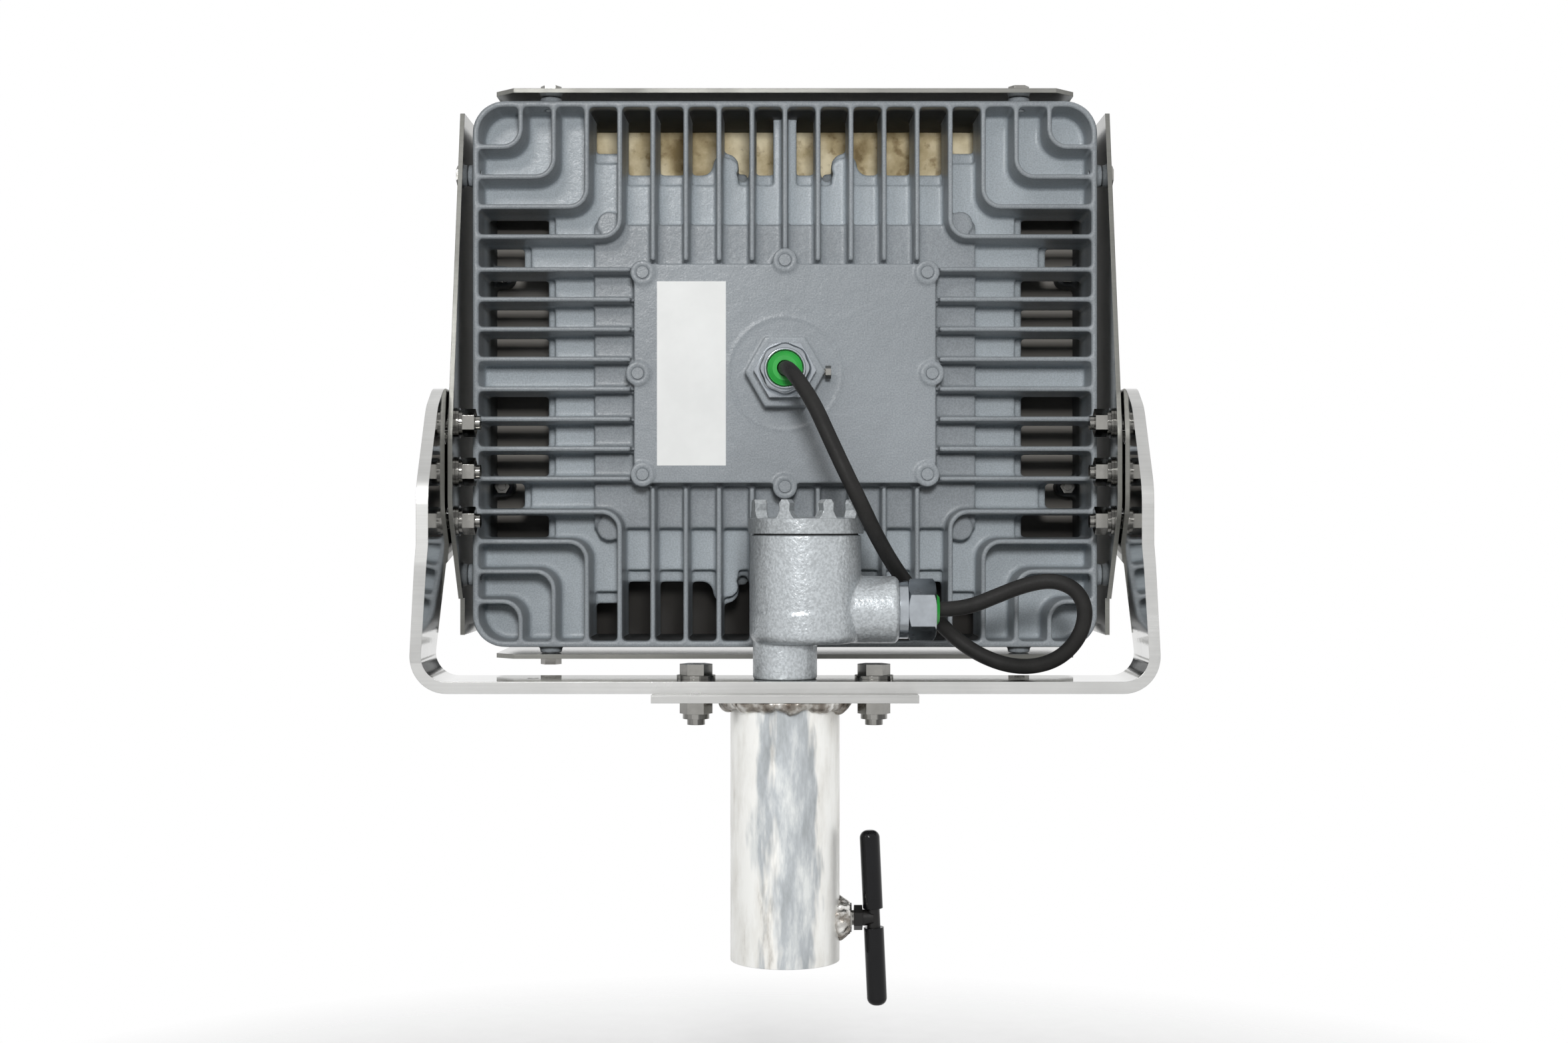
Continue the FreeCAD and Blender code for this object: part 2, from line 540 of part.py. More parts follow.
def make_conduit_box():
    floor = bar_top + s.hub_height
    rim = floor + s.box_height
    box_x = s.box_shift
    hub_z = floor + s.side_hub_rise
    hub_end = box_x + s.side_hub_reach
    cavity_r = s.box_r - s.box_wall
    side_hub = fuse(rod(s.side_hub_r, s.side_hub_reach - s.hub_round, box_x, 0, hub_z, "x"),
                    cone(s.side_hub_r, s.side_hub_r - s.hub_round, s.hub_round, hub_end - s.hub_round, 0, hub_z, "x"))
    shell = fuse(rod(s.box_r, s.box_height, box_x, 0, floor), rod(s.hub_r, s.hub_height + s.box_wall, 0, 0, bar_top),
                 side_hub)
    ledge_r = s.box_r + s.ledge_proud
    drum = round_foot(rod(ledge_r, s.ledge_rise, box_x, 0, floor), floor, s.foot_round)
    trim = box(box_x - s.box_r * 2, hub_end, -s.box_r * 2, s.box_r * 2, floor - s.hub_height, floor + s.foot_round)
    shell = cut(shell, cut(trim, drum, rod(s.hub_r, s.hub_height + s.box_wall, 0, 0, bar_top), side_hub))
    body = fuse(shell, drum)
    hollow = fuse(rod(cavity_r, s.box_height, box_x, 0, floor + s.box_wall),
                  rod(s.nipple_r, s.hub_height + s.box_wall * 2, 0, 0, bar_top),
                  rod(s.side_bore_r, s.side_hub_reach, box_x, 0, hub_z, "x"))
    node("conduit_box", cut(body, hollow))

    low = s.tube_length - s.nipple_below
    nipple_top = bar_top + s.nipple_into_box
    node("entry_nipple", turned([(s.nipple_bore_r, 0), (s.nipple_r, 0), (s.nipple_r, nipple_top - low),
                                 (s.nipple_bore_r, nipple_top - low)], 0, 0, low, "z"))
    lock_low = s.tube_length - s.locknut_thick
    node("nipple_locknut", cut(hexagon(s.locknut_flats, s.locknut_thick, 0, 0, lock_low),
                               rod(s.nipple_r, s.locknut_thick, 0, 0, lock_low)))

    ring_h = s.o_ring_r * 2
    band_top = rim + ring_h + s.cover_band
    skirt_r = cavity_r - s.cover_clear
    cap = fuse(rod(s.cover_r, s.cover_band, box_x, 0, rim + ring_h),
               rod(skirt_r, s.cover_skirt + ring_h, box_x, 0, rim - s.cover_skirt),
               cone(s.cover_r - 1.5, s.cover_r * 0.6, s.cover_crown, box_x, 0, band_top))
    lugs = []
    count = int(DIMENSIONS["lug_count"])
    for i in range(count):
        lugs.append(cover_lug(360.0 * (i + 0.5) / count, box_x, band_top))
    inner = rod(skirt_r - s.box_wall, s.cover_skirt + ring_h, box_x, 0, rim - s.cover_skirt)
    rim_ring = common(fuse(*lugs), rod(s.cover_r - 0.6, s.lug_height * 2, box_x, 0, band_top - s.lug_height))
    node("conduit_cover", cut(fuse(cap, rim_ring), inner))
    node("cover_o_ring", turned([(skirt_r + s.cover_clear, 0), (s.box_r - 2, 0), (s.box_r - 2, ring_h),
                                 (skirt_r + s.cover_clear, ring_h)], box_x, 0, rim, "z"))
    make_gland("box_gland", hub_end, 0, hub_z, "x", False)


def round_foot(drum, level, radius):
    """Round the circular edge of a drum at a level."""
    doc.recompute()
    rounded = doc.addObject("Part::Fillet", "Rounded")
    rounded.Base = drum
    size = as_size(radius).value
    rounded.Edges = [(number, size, size) for number, edge in enumerate(drum.Shape.Edges, start=1)
                     if edge.BoundBox.ZLength < 1e-6 and abs(edge.BoundBox.ZMin - as_size(level).value) < 1e-6]
    return rounded


def cover_lug(angle, x, level):
    """A waisted post on the cover's rim, for turning the cover with a bar."""
    half, foot = s.lug_width / 2, s.lug_width / 2 + s.lug_foot
    top = s.lug_height
    outline = [(-foot, -1), (foot, -1), (foot * 0.72, top * 0.12), (half * 0.92, top * 0.42), (half, top * 0.8),
               (half * 0.55, top), (-half * 0.55, top), (-half, top * 0.8), (-half * 0.92, top * 0.42),
               (-foot * 0.72, top * 0.12)]
    start = s.cover_r - s.lug_radial
    lug = plate("YZ", start, s.cover_r, [outline])
    lug.Placement = FreeCAD.Placement(Vector(), FreeCAD.Rotation(Vector(0, 0, 1), angle))
    bind(lug, "Placement.Base.x", x)
    bind(lug, "Placement.Base.z", level)
    return lug


# A cord gland: collar with shank, hex or round nut and bushing, set along an axis

def make_gland(prefix, x, y, z, axis, round_nut):
    step = {"x": (1, 0, 0), "-y": (0, -1, 0)}[axis]

    def at(distance):
        return [as_size(base) + as_size(distance) * way for base, way in zip((x, y, z), step)]

    def bevelled(flats, start, length):
        """A hexagon whose corners are turned off at both ends."""
        corner = as_size(flats) / (2 * COS30)
        low = corner - s.gland_bevel * 1.7
        hull = fuse(cone(low, corner, s.gland_bevel, *at(start), axis),
                    rod(corner, length - s.gland_bevel * 2, *at(start + s.gland_bevel), axis),
                    cone(corner, low, s.gland_bevel, *at(start + length - s.gland_bevel), axis))
        return common(hexagon(flats, length, *at(start), axis), hull)

    if round_nut:
        body_end = s.head_body
        nut_end = body_end + s.head_nut
        shell = bevelled(s.head_body_flats, as_size(0), s.head_body)
        nut = fuse(rod(s.head_nut_r, s.head_nut - s.gland_bevel, *at(body_end), axis),
                   cone(s.head_nut_r, s.head_nut_r - s.gland_bevel, s.gland_bevel, *at(nut_end - s.gland_bevel), axis))
    else:
        body_end = s.gland_collar
        nut_end = body_end + s.gland_nut
        shell = rod(s.gland_collar_r, s.gland_collar, *at(0), axis)
        nut = bevelled(s.gland_nut_flats, body_end, s.gland_nut)
    shell = fuse(shell, rod(s.side_bore_r - s.cover_clear, s.gland_shank, *at(-s.gland_shank), axis))
    bore = rod(s.cord_r + 0.5, s.gland_shank + body_end, *at(-s.gland_shank), axis)
    node(prefix + "_body", cut(shell, bore))
    seat = rod(s.bushing_r, s.bushing_depth, *at(nut_end - s.bushing_depth), axis)
    through = rod(s.cord_r + 0.5, nut_end, *at(body_end), axis)
    node(prefix + "_nut", cut(nut, seat, through))
    sleeve = fuse(rod(s.bushing_r, s.bushing_depth, *at(nut_end - s.bushing_depth), axis),
                  cone(s.bushing_r - 0.4, s.cord_r + 3.4, s.bushing_lip, *at(nut_end), axis))
    hole = rod(s.cord_r + s.joint_gap, s.bushing_depth + s.bushing_lip, *at(nut_end - s.bushing_depth), axis)
    node(prefix + "_bushing", cut(sleeve, hole))


# Lamp housing: rim, stepped floor, fins, driver bay and light chamber

def upright_fin(x, z0, z1):
    """A fin across X whose thickness grows from its crest to its root."""
    fin = doc.addObject("Part::Wedge", "Fin")
    half_root, half_crest = s.fin_root / 2, s.fin_crest / 2
    for prop, size in (("Xmin", -half_crest), ("Xmax", half_crest), ("Zmin", 0), ("Zmax", as_size(z1) - z0),
                       ("X2min", -half_root), ("X2max", half_root), ("Z2min", 0), ("Z2max", as_size(z1) - z0),
                       ("Ymin", 0), ("Ymax", s.fin_depth)):
        bind(fin, prop, size)
    return place(fin, x, rim_y, z0)


def level_fin(z, x0, x1):
    """A fin across Z whose thickness grows from its crest to its root."""
    fin = doc.addObject("Part::Wedge", "Fin")
    half_root, half_crest = s.fin_root / 2, s.fin_crest / 2
    for prop, size in (("Zmin", -half_crest), ("Zmax", half_crest), ("Xmin", 0), ("Xmax", as_size(x1) - x0),
                       ("Z2min", -half_root), ("Z2max", half_root), ("X2min", 0), ("X2max", as_size(x1) - x0),
                       ("Ymin", 0), ("Ymax", s.fin_depth)):
        bind(fin, prop, size)
    return place(fin, x0, rim_y, z)


def elbow(x, z):
    """A quarter turn that joins an upright fin above to a level fin on the right."""
    grow = (s.fin_root - s.fin_crest) / 2
    rings = []
    for side in (1, -1):
        ring = doc.addObject("Part::Cone", "Cone")
        crest = s.elbow_r + side * s.fin_crest / 2
        bind(ring, "Radius1", crest + grow * side)
        bind(ring, "Radius2", crest)
        bind(ring, "Height", s.fin_depth)
        ring.Angle = 90
        turn = TURN["-y"].multiply(FreeCAD.Rotation(Vector(0, 0, 1), 180))
        ring.Placement = FreeCAD.Placement(Vector(), turn)
        for prop, size in zip("xyz", (x + s.elbow_r, rim_y + s.fin_depth, z + s.elbow_r)):
            bind(ring, "Placement.Base." + prop, size)
        rings.append(ring)
    return cut(*rings)


def make_housing():
    half_x, half_z = s.lamp_width / 2, s.lamp_height / 2
    inner_x, inner_z = half_x - s.rim_wall, half_z - s.rim_wall
    rim = cut(rounded_block(half_x, half_z, s.lamp_corner_r, rim_y, front_y),
              rounded_block(inner_x, inner_z, s.lamp_corner_r - s.rim_wall, rim_y - 1, front_y + 1))

    def slab(hx, hz, y0, y1):
        return box(-hx, hx, y0, y1, lamp_z - hz, lamp_z + hz)

    floor_y = rim_y + s.step3_drop
    floor_end = floor_y + s.floor_thick
    parts = [rim, slab(s.step3_half_x, s.step3_half_z, floor_y, front_y),
             slab(s.step2_half_x, s.step2_half_z, rim_y + s.step2_drop, floor_end),
             slab(s.step1_half_x, s.step1_half_z, rim_y + s.step1_drop, floor_end)]
    lip_end = floor_end + s.lip_thick
    lip_top = s.step3_half_z + s.lip_z
    parts.append(rounded_block(s.step3_half_x + s.lip_x, lip_top, s.lip_round, floor_end, lip_end))
    parts.append(cover_plan(rim_y + s.seat_drop, floor_end))
    into_x, into_z = inner_x + s.rim_wall / 2, inner_z + s.rim_wall / 2
    parts.append(box(-s.centre_web / 2, s.centre_web / 2, floor_y, floor_end, lamp_z - into_z, lamp_z + into_z))
    parts.append(box(-into_x, into_x, floor_y, floor_end, lamp_z - s.row_pitch / 2, lamp_z + s.row_pitch / 2))
    lobe_reach = s.lobe_r + s.joint_gap
    fin_start_x, fin_start_z = s.lobe_x + lobe_reach, s.lobe_z + lobe_reach
    parts.append(upright_fin(0, lamp_z + s.lobe_top_z + lobe_reach, lamp_z + into_z))
    parts.append(upright_fin(0, lamp_z - into_z, lamp_z - s.lobe_top_z - lobe_reach))

    # One quarter of the fins and floors, which is then mirrored to the other three
    quarter = []
    for i in range(1, 5):
        quarter.append(upright_fin(s.column_pitch * i, lamp_z + fin_start_z, lamp_z + into_z))
        quarter.append(level_fin(lamp_z + s.row_pitch * (i - 0.5), fin_start_x, into_x))
    for i in range(4):
        x = s.column_pitch * (5 + i)
        z = lamp_z + s.corner_row + s.row_pitch * i
        quarter.append(upright_fin(x, z + s.elbow_r, lamp_z + into_z))
        quarter.append(level_fin(z, x + s.elbow_r, into_x))
        quarter.append(elbow(x, z))
    column3, column4 = s.column_pitch * 6, s.column_pitch * 5
    row3, row4 = lamp_z + s.corner_row + s.row_pitch, lamp_z + s.corner_row
    corner = box(column3, half_x - 1, floor_y, floor_end, row3, lamp_z + half_z - 1)
    quarter.append(round_edges(corner, "y", [(half_x - 1, lamp_z + half_z - 1, s.lamp_corner_r - 1)]))
    quarter.append(box(column4, column3, floor_y, floor_end, lamp_z, lamp_z + s.bay_floor_z))
    quarter.append(box(0, s.row_floor_x, floor_y, floor_end, lamp_z + s.row_pitch * 3.5, row4))
    quarter.append(box(column4, column3, floor_end, lip_end, lamp_z, lamp_z + s.bay_floor_z + s.lip_z))
    quarter.append(box(0, s.row_floor_x + s.lip_x, floor_end, lip_end, lamp_z + s.row_pitch * 3.5, row4))
    quarter.append(rod(s.corner_pad_r, s.step3_drop - s.step2_drop + s.corner_pad_proud, s.corner_pad_x,
                       rim_y + s.step2_drop - s.corner_pad_proud, lamp_z + s.corner_pad_z, "y"))
    finger_in, finger_out = s.finger_x - s.finger_width / 2, s.finger_x + s.finger_width / 2
    tip_z = lamp_z + s.bay_floor_z + s.finger_rise - s.finger_width / 2
    quarter.append(box(finger_in, finger_out, floor_y, floor_end, lamp_z, tip_z))
    quarter.append(rod(s.finger_width / 2, s.floor_thick, s.finger_x, floor_y, tip_z, "y"))
    lip_out = finger_out + s.finger_lip
    lip_r = (lip_out - finger_in) / 2
    lip_tip = lamp_z + s.bay_floor_z + s.lip_z - lip_r
    quarter.append(box(finger_in, lip_out, floor_end, lip_end, lamp_z, lip_tip))
    quarter.append(rod(lip_r, s.lip_thick, finger_in + lip_r, floor_end, lip_tip, "y"))
    cove_block = box(lip_out - 1, lip_out + s.cove_r, floor_end, lip_end, lamp_z + lip_top - 1,
                     lamp_z + lip_top + s.cove_r)
    quarter.append(cut(cove_block, rod(s.cove_r, s.lip_thick + 2, lip_out + s.cove_r, floor_end - 1,
                                       lamp_z + lip_top + s.cove_r, "y")))
    quarter.append(rod(s.stud_r, front_y - lip_end, s.notch_x, lip_end, lamp_z + s.notch_z, "y"))
    quarter.append(box(s.notch_x - s.stud_r, s.notch_x + s.stud_r, lip_end, front_y, lamp_z,
                       lamp_z + s.notch_z))
    quarter.append(rod(s.post_r, front_y - floor_y, s.post_x, floor_y, lamp_z + s.post_z, "y"))
    boss_start = front_y - s.boss_depth
    quarter.append(rod(s.frame_nut_flats * 0.8, s.boss_depth, s.boss_x, boss_start, lamp_z + s.boss_z, "y"))
    quarter.append(box(s.boss_x, into_x, boss_start, front_y, lamp_z + s.boss_z - s.frame_nut_flats * 0.8,
                       lamp_z + s.boss_z + s.frame_nut_flats * 0.8))
    pad_y = rim_y + s.guard_bolt_y
    quarter.append(rod(s.pad_r, s.guard_gap + 1, s.guard_bolt_x, pad_y, lamp_z + half_z - 1, "z"))
    quarter.append(rod(s.pad_r, s.guard_gap + 1, half_x - 1, pad_y, lamp_z + s.guard_bolt_z, "x"))
    right_top = fuse(*quarter)
    right_low = mirror_z(right_top, lamp_z)
    parts += [right_top, right_low, mirror_x(right_top), mirror_x(right_low)]

    bay_start = rim_y + s.seat_drop
    chamber_start = bay_start + s.bay_depth + s.partition
    seat = front_y - s.glass_seat
    glass_x = s.chamber_half_x + s.glass_margin + s.glass_clear
    glass_z = s.chamber_half_z + s.glass_margin + s.glass_clear
    tools = [slab(s.bay_half_x, s.bay_half_z, bay_start, bay_start + s.bay_depth),
             slab(s.chamber_half_x, s.chamber_half_z, chamber_start, seat),
             slab(glass_x, glass_z, seat, front_y + 1)]
    for x, z in cover_screw_spots():
        tools.append(rod(s.cover_screw_r, s.cover_screw_length, x, bay_start - 1, lamp_z + z, "y"))
    for side in (-1, 1):
        for up in (-1, 1):
            tools.append(rod(s.frame_screw_r, s.post_thread + 1, side * s.post_x, front_y - s.post_thread,
                             lamp_z + up * s.post_z, "y"))
            tools.append(rod(s.frame_screw_r + s.hole_clear, s.boss_depth + 2, side * s.boss_x, boss_start - 1,
                             lamp_z + up * s.boss_z, "y"))
            tools.append(rod(s.notch_r, lip_end - floor_y + 1, side * s.notch_x, floor_y - 1,
                             lamp_z + up * s.notch_z, "y"))
            for spot, axis in guard_bolt_spots(side, up):
                tools.append(rod(s.guard_bolt_r, s.guard_thick + s.guard_gap + s.rim_wall + 2, *spot, axis))
    tools.append(rod(s.cord_r * 1.6, s.floor_thick + s.partition, s.bay_half_x * 0.8, bay_start + s.bay_depth - 1,
                     lamp_z - s.bay_half_z * 0.6, "y"))
    node("heat_sink_housing", cut(fuse(*parts), *tools))
    return bay_start, chamber_start, seat


def guard_bolt_spots(side, up):
    """Where a guard bolt starts, under its head, and the way that it goes in."""
    y = rim_y + s.guard_bolt_y
    out_z = s.lamp_height / 2 + s.guard_gap + s.guard_thick
    out_x = s.lamp_width / 2 + s.guard_gap + s.guard_thick
    return [((side * s.guard_bolt_x, y, lamp_z + up * out_z), "-z" if up > 0 else "z"),
            ((side * out_x, y, lamp_z + up * s.guard_bolt_z), "-x" if side > 0 else "x")]


# Rear cover: plate with eight lobes, raised ring and hex hub

def cover_screw_spots():
    spots = [(side * s.lobe_x, up * s.lobe_z) for side in (-1, 1) for up in (-1, 1)]
    spots += [(side * s.lobe_side_x, as_size(0)) for side in (-1, 1)]
    spots += [(as_size(0), up * s.lobe_top_z) for up in (-1, 1)]
    return spots


def cover_plan(y0, y1):
    """The cover's outline with its lobes, from one level to another."""
    parts = [rounded_block(s.cover_half_x, s.cover_half_z, s.cover_round, y0, y1)]
    for x, z in cover_screw_spots():
        parts.append(rod(s.lobe_r, as_size(y1) - y0, x, y0, lamp_z + z, "y"))
    return fuse(*parts)


def make_rear_cover(bay_start):
    gasket_back = bay_start - s.cover_gasket
    back = gasket_back - s.cover_thick
    opening = box(-s.bay_half_x, s.bay_half_x, gasket_back, bay_start, lamp_z - s.bay_half_z, lamp_z + s.bay_half_z)
    screw_holes = [rod(s.cover_screw_r + s.hole_clear, s.cover_gasket, x, gasket_back, lamp_z + z, "y")
                   for x, z in cover_screw_spots()]
    node("cover_gasket", cut(cover_plan(gasket_back, bay_start), opening, *screw_holes))

    hub_end = back - s.head_hub
    parts = [cover_plan(back, gasket_back), hexagon(s.head_hub_flats, s.head_hub + 1, 0, back + 1, lamp_z, "-y")]
    ring = cut(rod(s.ring_r, s.ring_proud + 1, 0, back + 1, lamp_z, "-y"),
               rod(s.ring_r - s.ring_width, s.ring_proud + 1, 0, back + 1, lamp_z, "-y"))
    parts.append(ring)
    tools = [rod(s.side_bore_r, s.head_hub + s.cover_thick, 0, gasket_back, lamp_z, "-y")]
    screws = []
    for x, z in cover_screw_spots():
        parts.append(rod(s.lobe_r, s.lobe_proud + 1, x, back + 1, lamp_z + z, "-y"))
        face = back - s.lobe_proud
        tools.append(rod(s.cover_head_r + s.hole_clear, s.cover_counterbore, x, face + s.cover_counterbore,
                         lamp_z + z, "-y"))
        tools.append(rod(s.cover_screw_r + s.hole_clear, s.cover_thick * 2, x, gasket_back + 1, lamp_z + z, "-y"))
        seat = face + s.cover_counterbore
        screws.append(fuse(rod(s.cover_head_r, s.cover_head, x, seat, lamp_z + z, "-y"),
                           rod(s.cover_screw_r, s.cover_screw_length, x, seat, lamp_z + z, "y")))
    corner = s.head_hub_flats / (2 * COS30)
    screw_y = back - s.head_hub * 0.55
    tools.append(rod(s.set_screw_r, s.set_screw_depth, corner - s.set_screw_depth + 2, screw_y, lamp_z, "x"))
    node("rear_cover", cut(fuse(*parts), *tools))
    node("cover_screws", group(*screws))
    head_x = corner + 0.2
    node("hub_set_screw", fuse(rod(s.set_screw_r, s.set_screw_depth, head_x - s.set_screw_depth + 2, screw_y,
                                   lamp_z, "x"),
                               hexagon(s.set_screw_flats, s.set_screw_head, head_x, screw_y, lamp_z, "x")))
    label_right = s.label_width - s.label_left
    node("blank_label", box(-s.label_left, label_right, back - s.label_thick, back,
                            lamp_z - s.label_height / 2, lamp_z + s.label_height / 2))
    make_gland("head_gland", 0, hub_end, lamp_z, "-y", True)


# Front frame, glass, gasket and their screws

def make_front(seat):
    half_x, half_z = s.lamp_width / 2, s.lamp_height / 2
    end = front_y + s.frame_thick
    blank = rounded_block(half_x, half_z, s.lamp_corner_r, front_y, end)
    window = rounded_block(s.window_half_x, s.window_half_z, s.window_round, front_y - 1, end + 1)
    holes, screws, nuts = [], [], []
    boss_start = front_y - s.boss_depth
    for side in (-1, 1):
        for up in (-1, 1):
            for x, z, depth in ((side * s.post_x, lamp_z + up * s.post_z, s.post_thread - 2),
                                (side * s.boss_x, lamp_z + up * s.boss_z, s.boss_depth + s.frame_nut + s.frame_tip)):
                holes.append(rod(s.frame_screw_r + s.hole_clear, s.frame_thick + 2, x, front_y - 1, z, "y"))
                screws.append(fuse(rod(s.frame_screw_r, depth + s.frame_thick, x, end, z, "-y"),
                                   rod(s.frame_head_r, s.frame_head, x, end, z, "y")))
            x, z = side * s.boss_x, lamp_z + up * s.boss_z
            nuts.append(cut(hexagon(s.frame_nut_flats, s.frame_nut, x, boss_start, z, "-y"),
                            rod(s.frame_screw_r, s.frame_nut, x, boss_start, z, "-y")))
    node("front_frame", cut(blank, window, *holes))
    node("frame_screws", group(*screws))
    node("frame_nuts", group(*nuts))
    glass_x, glass_z = s.chamber_half_x + s.glass_margin, s.chamber_half_z + s.glass_margin
    glass_start = seat + s.gasket_thick
    node("front_glass", plate("XZ", glass_start, front_y, [rectangle(glass_x, glass_z, 0, lamp_z)]))
    node("glass_gasket", plate("XZ", seat, glass_start, [rectangle(glass_x, glass_z, 0, lamp_z),
                                                         rectangle(s.chamber_half_x, s.chamber_half_z, 0, lamp_z)]))


# Light engine: board with emitters in the chamber, driver and terminals in the bay

def make_light_engine(bay_start, chamber_start):
    board_end = chamber_start + s.board_thick
    node("led_board", plate("XZ", chamber_start, board_end, [rectangle(s.board_half_x, s.board_half_z, 0, lamp_z)]))
    columns, rows = int(DIMENSIONS["emitter_columns"]), int(DIMENSIONS["emitter_rows"])
    emitters = []
    half = s.emitter_size / 2
    for i in range(columns):
        for j in range(rows):
            x = s.board_half_x * (2 * (i + 0.5) / columns - 1)
            z = lamp_z + s.board_half_z * (2 * (j + 0.5) / rows - 1)
            emitters.append(box(x - half, x + half, board_end, board_end + s.emitter_thick, z - half, z + half))
    node("led_emitters", group(*emitters))
    floor = bay_start + s.bay_depth
    case = box(-s.driver_half_x, s.driver_half_x, floor - s.driver_thick, floor,
               lamp_z - s.driver_half_z, lamp_z + s.driver_half_z)
    wide = s.driver_half_x + s.driver_tab
    tabs = box(-wide, wide, floor - s.driver_tab_thick, floor, lamp_z - s.driver_half_z, lamp_z + s.driver_half_z)
    screws, holes = [], []
    for side in (-1, 1):
        x = side * (s.driver_half_x + s.driver_tab / 2)
        holes.append(rod(s.screw_m4_r, s.driver_tab_thick, x, floor, lamp_z, "-y"))
        screws.append(fuse(rod(s.screw_m4_r, s.driver_tab_thick, x, floor, lamp_z, "-y"),
                           rod(s.screw_m4_head_r, s.screw_m4_head, x, floor - s.driver_tab_thick, lamp_z, "-y")))
    node("led_driver", cut(fuse(case, tabs), *holes))
    node("driver_screws", group(*screws))
    node("terminal_block", box(s.terminal_x - s.terminal_width / 2, s.terminal_x + s.terminal_width / 2,
                               floor - s.terminal_thick, floor, lamp_z, lamp_z + s.terminal_height * 0.9))


# Guard plates round the lamp; the side ones carry the tilt bolts

def make_guards():
    half_x, half_z = s.lamp_width / 2, s.lamp_height / 2
    back, front = rim_y - s.guard_back, rim_y + s.guard_front
    bevel = s.guard_bevel
    flat = [(-s.guard_half_x + bevel, back), (s.guard_half_x - bevel, back), (s.guard_half_x, back + bevel),
            (s.guard_half_x, front), (-s.guard_half_x, front), (-s.guard_half_x, back + bevel)]
    holes = [(side * s.guard_bolt_x, rim_y + s.guard_bolt_y, s.guard_bolt_r + s.hole_clear) for side in (-1, 1)]
    top_low = lamp_z + half_z + s.guard_gap
    low_top = lamp_z - half_z - s.guard_gap
    node("top_guard", plate("XY", top_low, top_low + s.guard_thick, [flat], holes))
    node("bottom_guard", plate("XY", low_top - s.guard_thick, low_top, [flat], holes))

    inner, outer = half_x + s.guard_gap, half_x + s.guard_gap + s.guard_thick
    apex = back - s.ear_reach + s.guard_back
    shape = [(back, lamp_z + s.side_guard_top), (apex, pivot_z + s.ear_rise), (apex, pivot_z - s.ear_rise),
             (back - 8, lamp_z - s.side_guard_bottom + s.guard_foot), (back, lamp_z - s.side_guard_bottom + s.guard_foot),
             (back, lamp_z - s.side_guard_bottom), (front, lamp_z - s.side_guard_bottom),
             (front, lamp_z + s.side_guard_top)]
    round_holes = [(rim_y + s.guard_bolt_y, lamp_z + up * s.guard_bolt_z, s.guard_bolt_r + s.hole_clear)
                   for up in (-1, 1)]
    round_holes += [(pivot_y, pivot_z + up * s.lock_radius, s.tilt_bolt_r) for up in (-1, 0, 1)]
    for side, label in ((-1, "left_guard"), (1, "right_guard")):
        low, high = (inner, outer) if side > 0 else (-outer, -inner)
        blank = plate("YZ", low, high, [shape], round_holes)
        node(label, round_edges(blank, "x", [(apex, pivot_z + s.ear_rise, s.guard_round),
                                             (apex, pivot_z - s.ear_rise, s.guard_round)]))
    bolts = []
    shank = s.guard_thick + s.guard_gap + s.rim_wall
    back_way = {"x": "-x", "-x": "x", "z": "-z", "-z": "z"}
    for side in (-1, 1):
        for up in (-1, 1):
            for spot, axis in guard_bolt_spots(side, up):
                bolts.append(fuse(rod(s.guard_bolt_r, shank, *spot, axis),
                                  hexagon(s.guard_head_flats, s.guard_head, *spot, back_way[axis])))
    node("guard_bolts", group(*bolts))


def make_tilt_bolts():
    """On each side a pivot bolt and two lock bolts, head outside, nut towards the lamp."""
    plate_in = s.lamp_width / 2 + s.guard_gap
    washer_out = s.ear_half + s.joint_gap
    head_in = washer_out + s.tilt_washer_thick
    flat_in = plate_in - s.tilt_washer_thick
    lock_in = flat_in - s.lock_washer_thick
    nut_in = lock_in - s.tilt_nut_thick
    tip = nut_in - s.tilt_tip
    pivots, locks, flats, springs, nuts = [], [], [], [], []
    for side, axis in ((-1, "-x"), (1, "x")):
        for up in (-1, 0, 1):
            z = pivot_z + up * s.lock_radius

            def along(radius, start, end):
                return rod(radius, end - start, side * start, pivot_y, z, axis)

            bolt = fuse(along(s.tilt_bolt_r, tip, head_in),
                        hexagon(s.tilt_head_flats, s.tilt_head_thick, side * head_in, pivot_y, z, axis))
            (locks if up else pivots).append(bolt)
            for start in (flat_in, washer_out):
                flats.append(cut(along(s.tilt_washer_r, start, start + s.tilt_washer_thick),
                                 along(s.tilt_bolt_r, start, start + s.tilt_washer_thick)))
            gap = box(side * lock_in - s.lock_washer_r, side * lock_in + s.lock_washer_r, pivot_y - s.lock_washer_r,
                      pivot_y - s.lock_washer_r * 0.4, z - 0.6, z + 0.6)
            springs.append(cut(along(s.lock_washer_r, lock_in, flat_in), along(s.tilt_bolt_r, lock_in, flat_in), gap))
            nuts.append(cut(hexagon(s.tilt_head_flats, s.tilt_nut_thick, side * nut_in, pivot_y, z, axis),
                            along(s.tilt_bolt_r, nut_in, lock_in)))
    node("pivot_bolts", group(*pivots))
    node("lock_bolts", group(*locks))
    node("tilt_washers", group(*flats))
    node("tilt_lock_washers", group(*springs))
    node("tilt_nuts", group(*nuts))


# Supply cord from the lamp's gland to the box's gland, with hand-chosen points

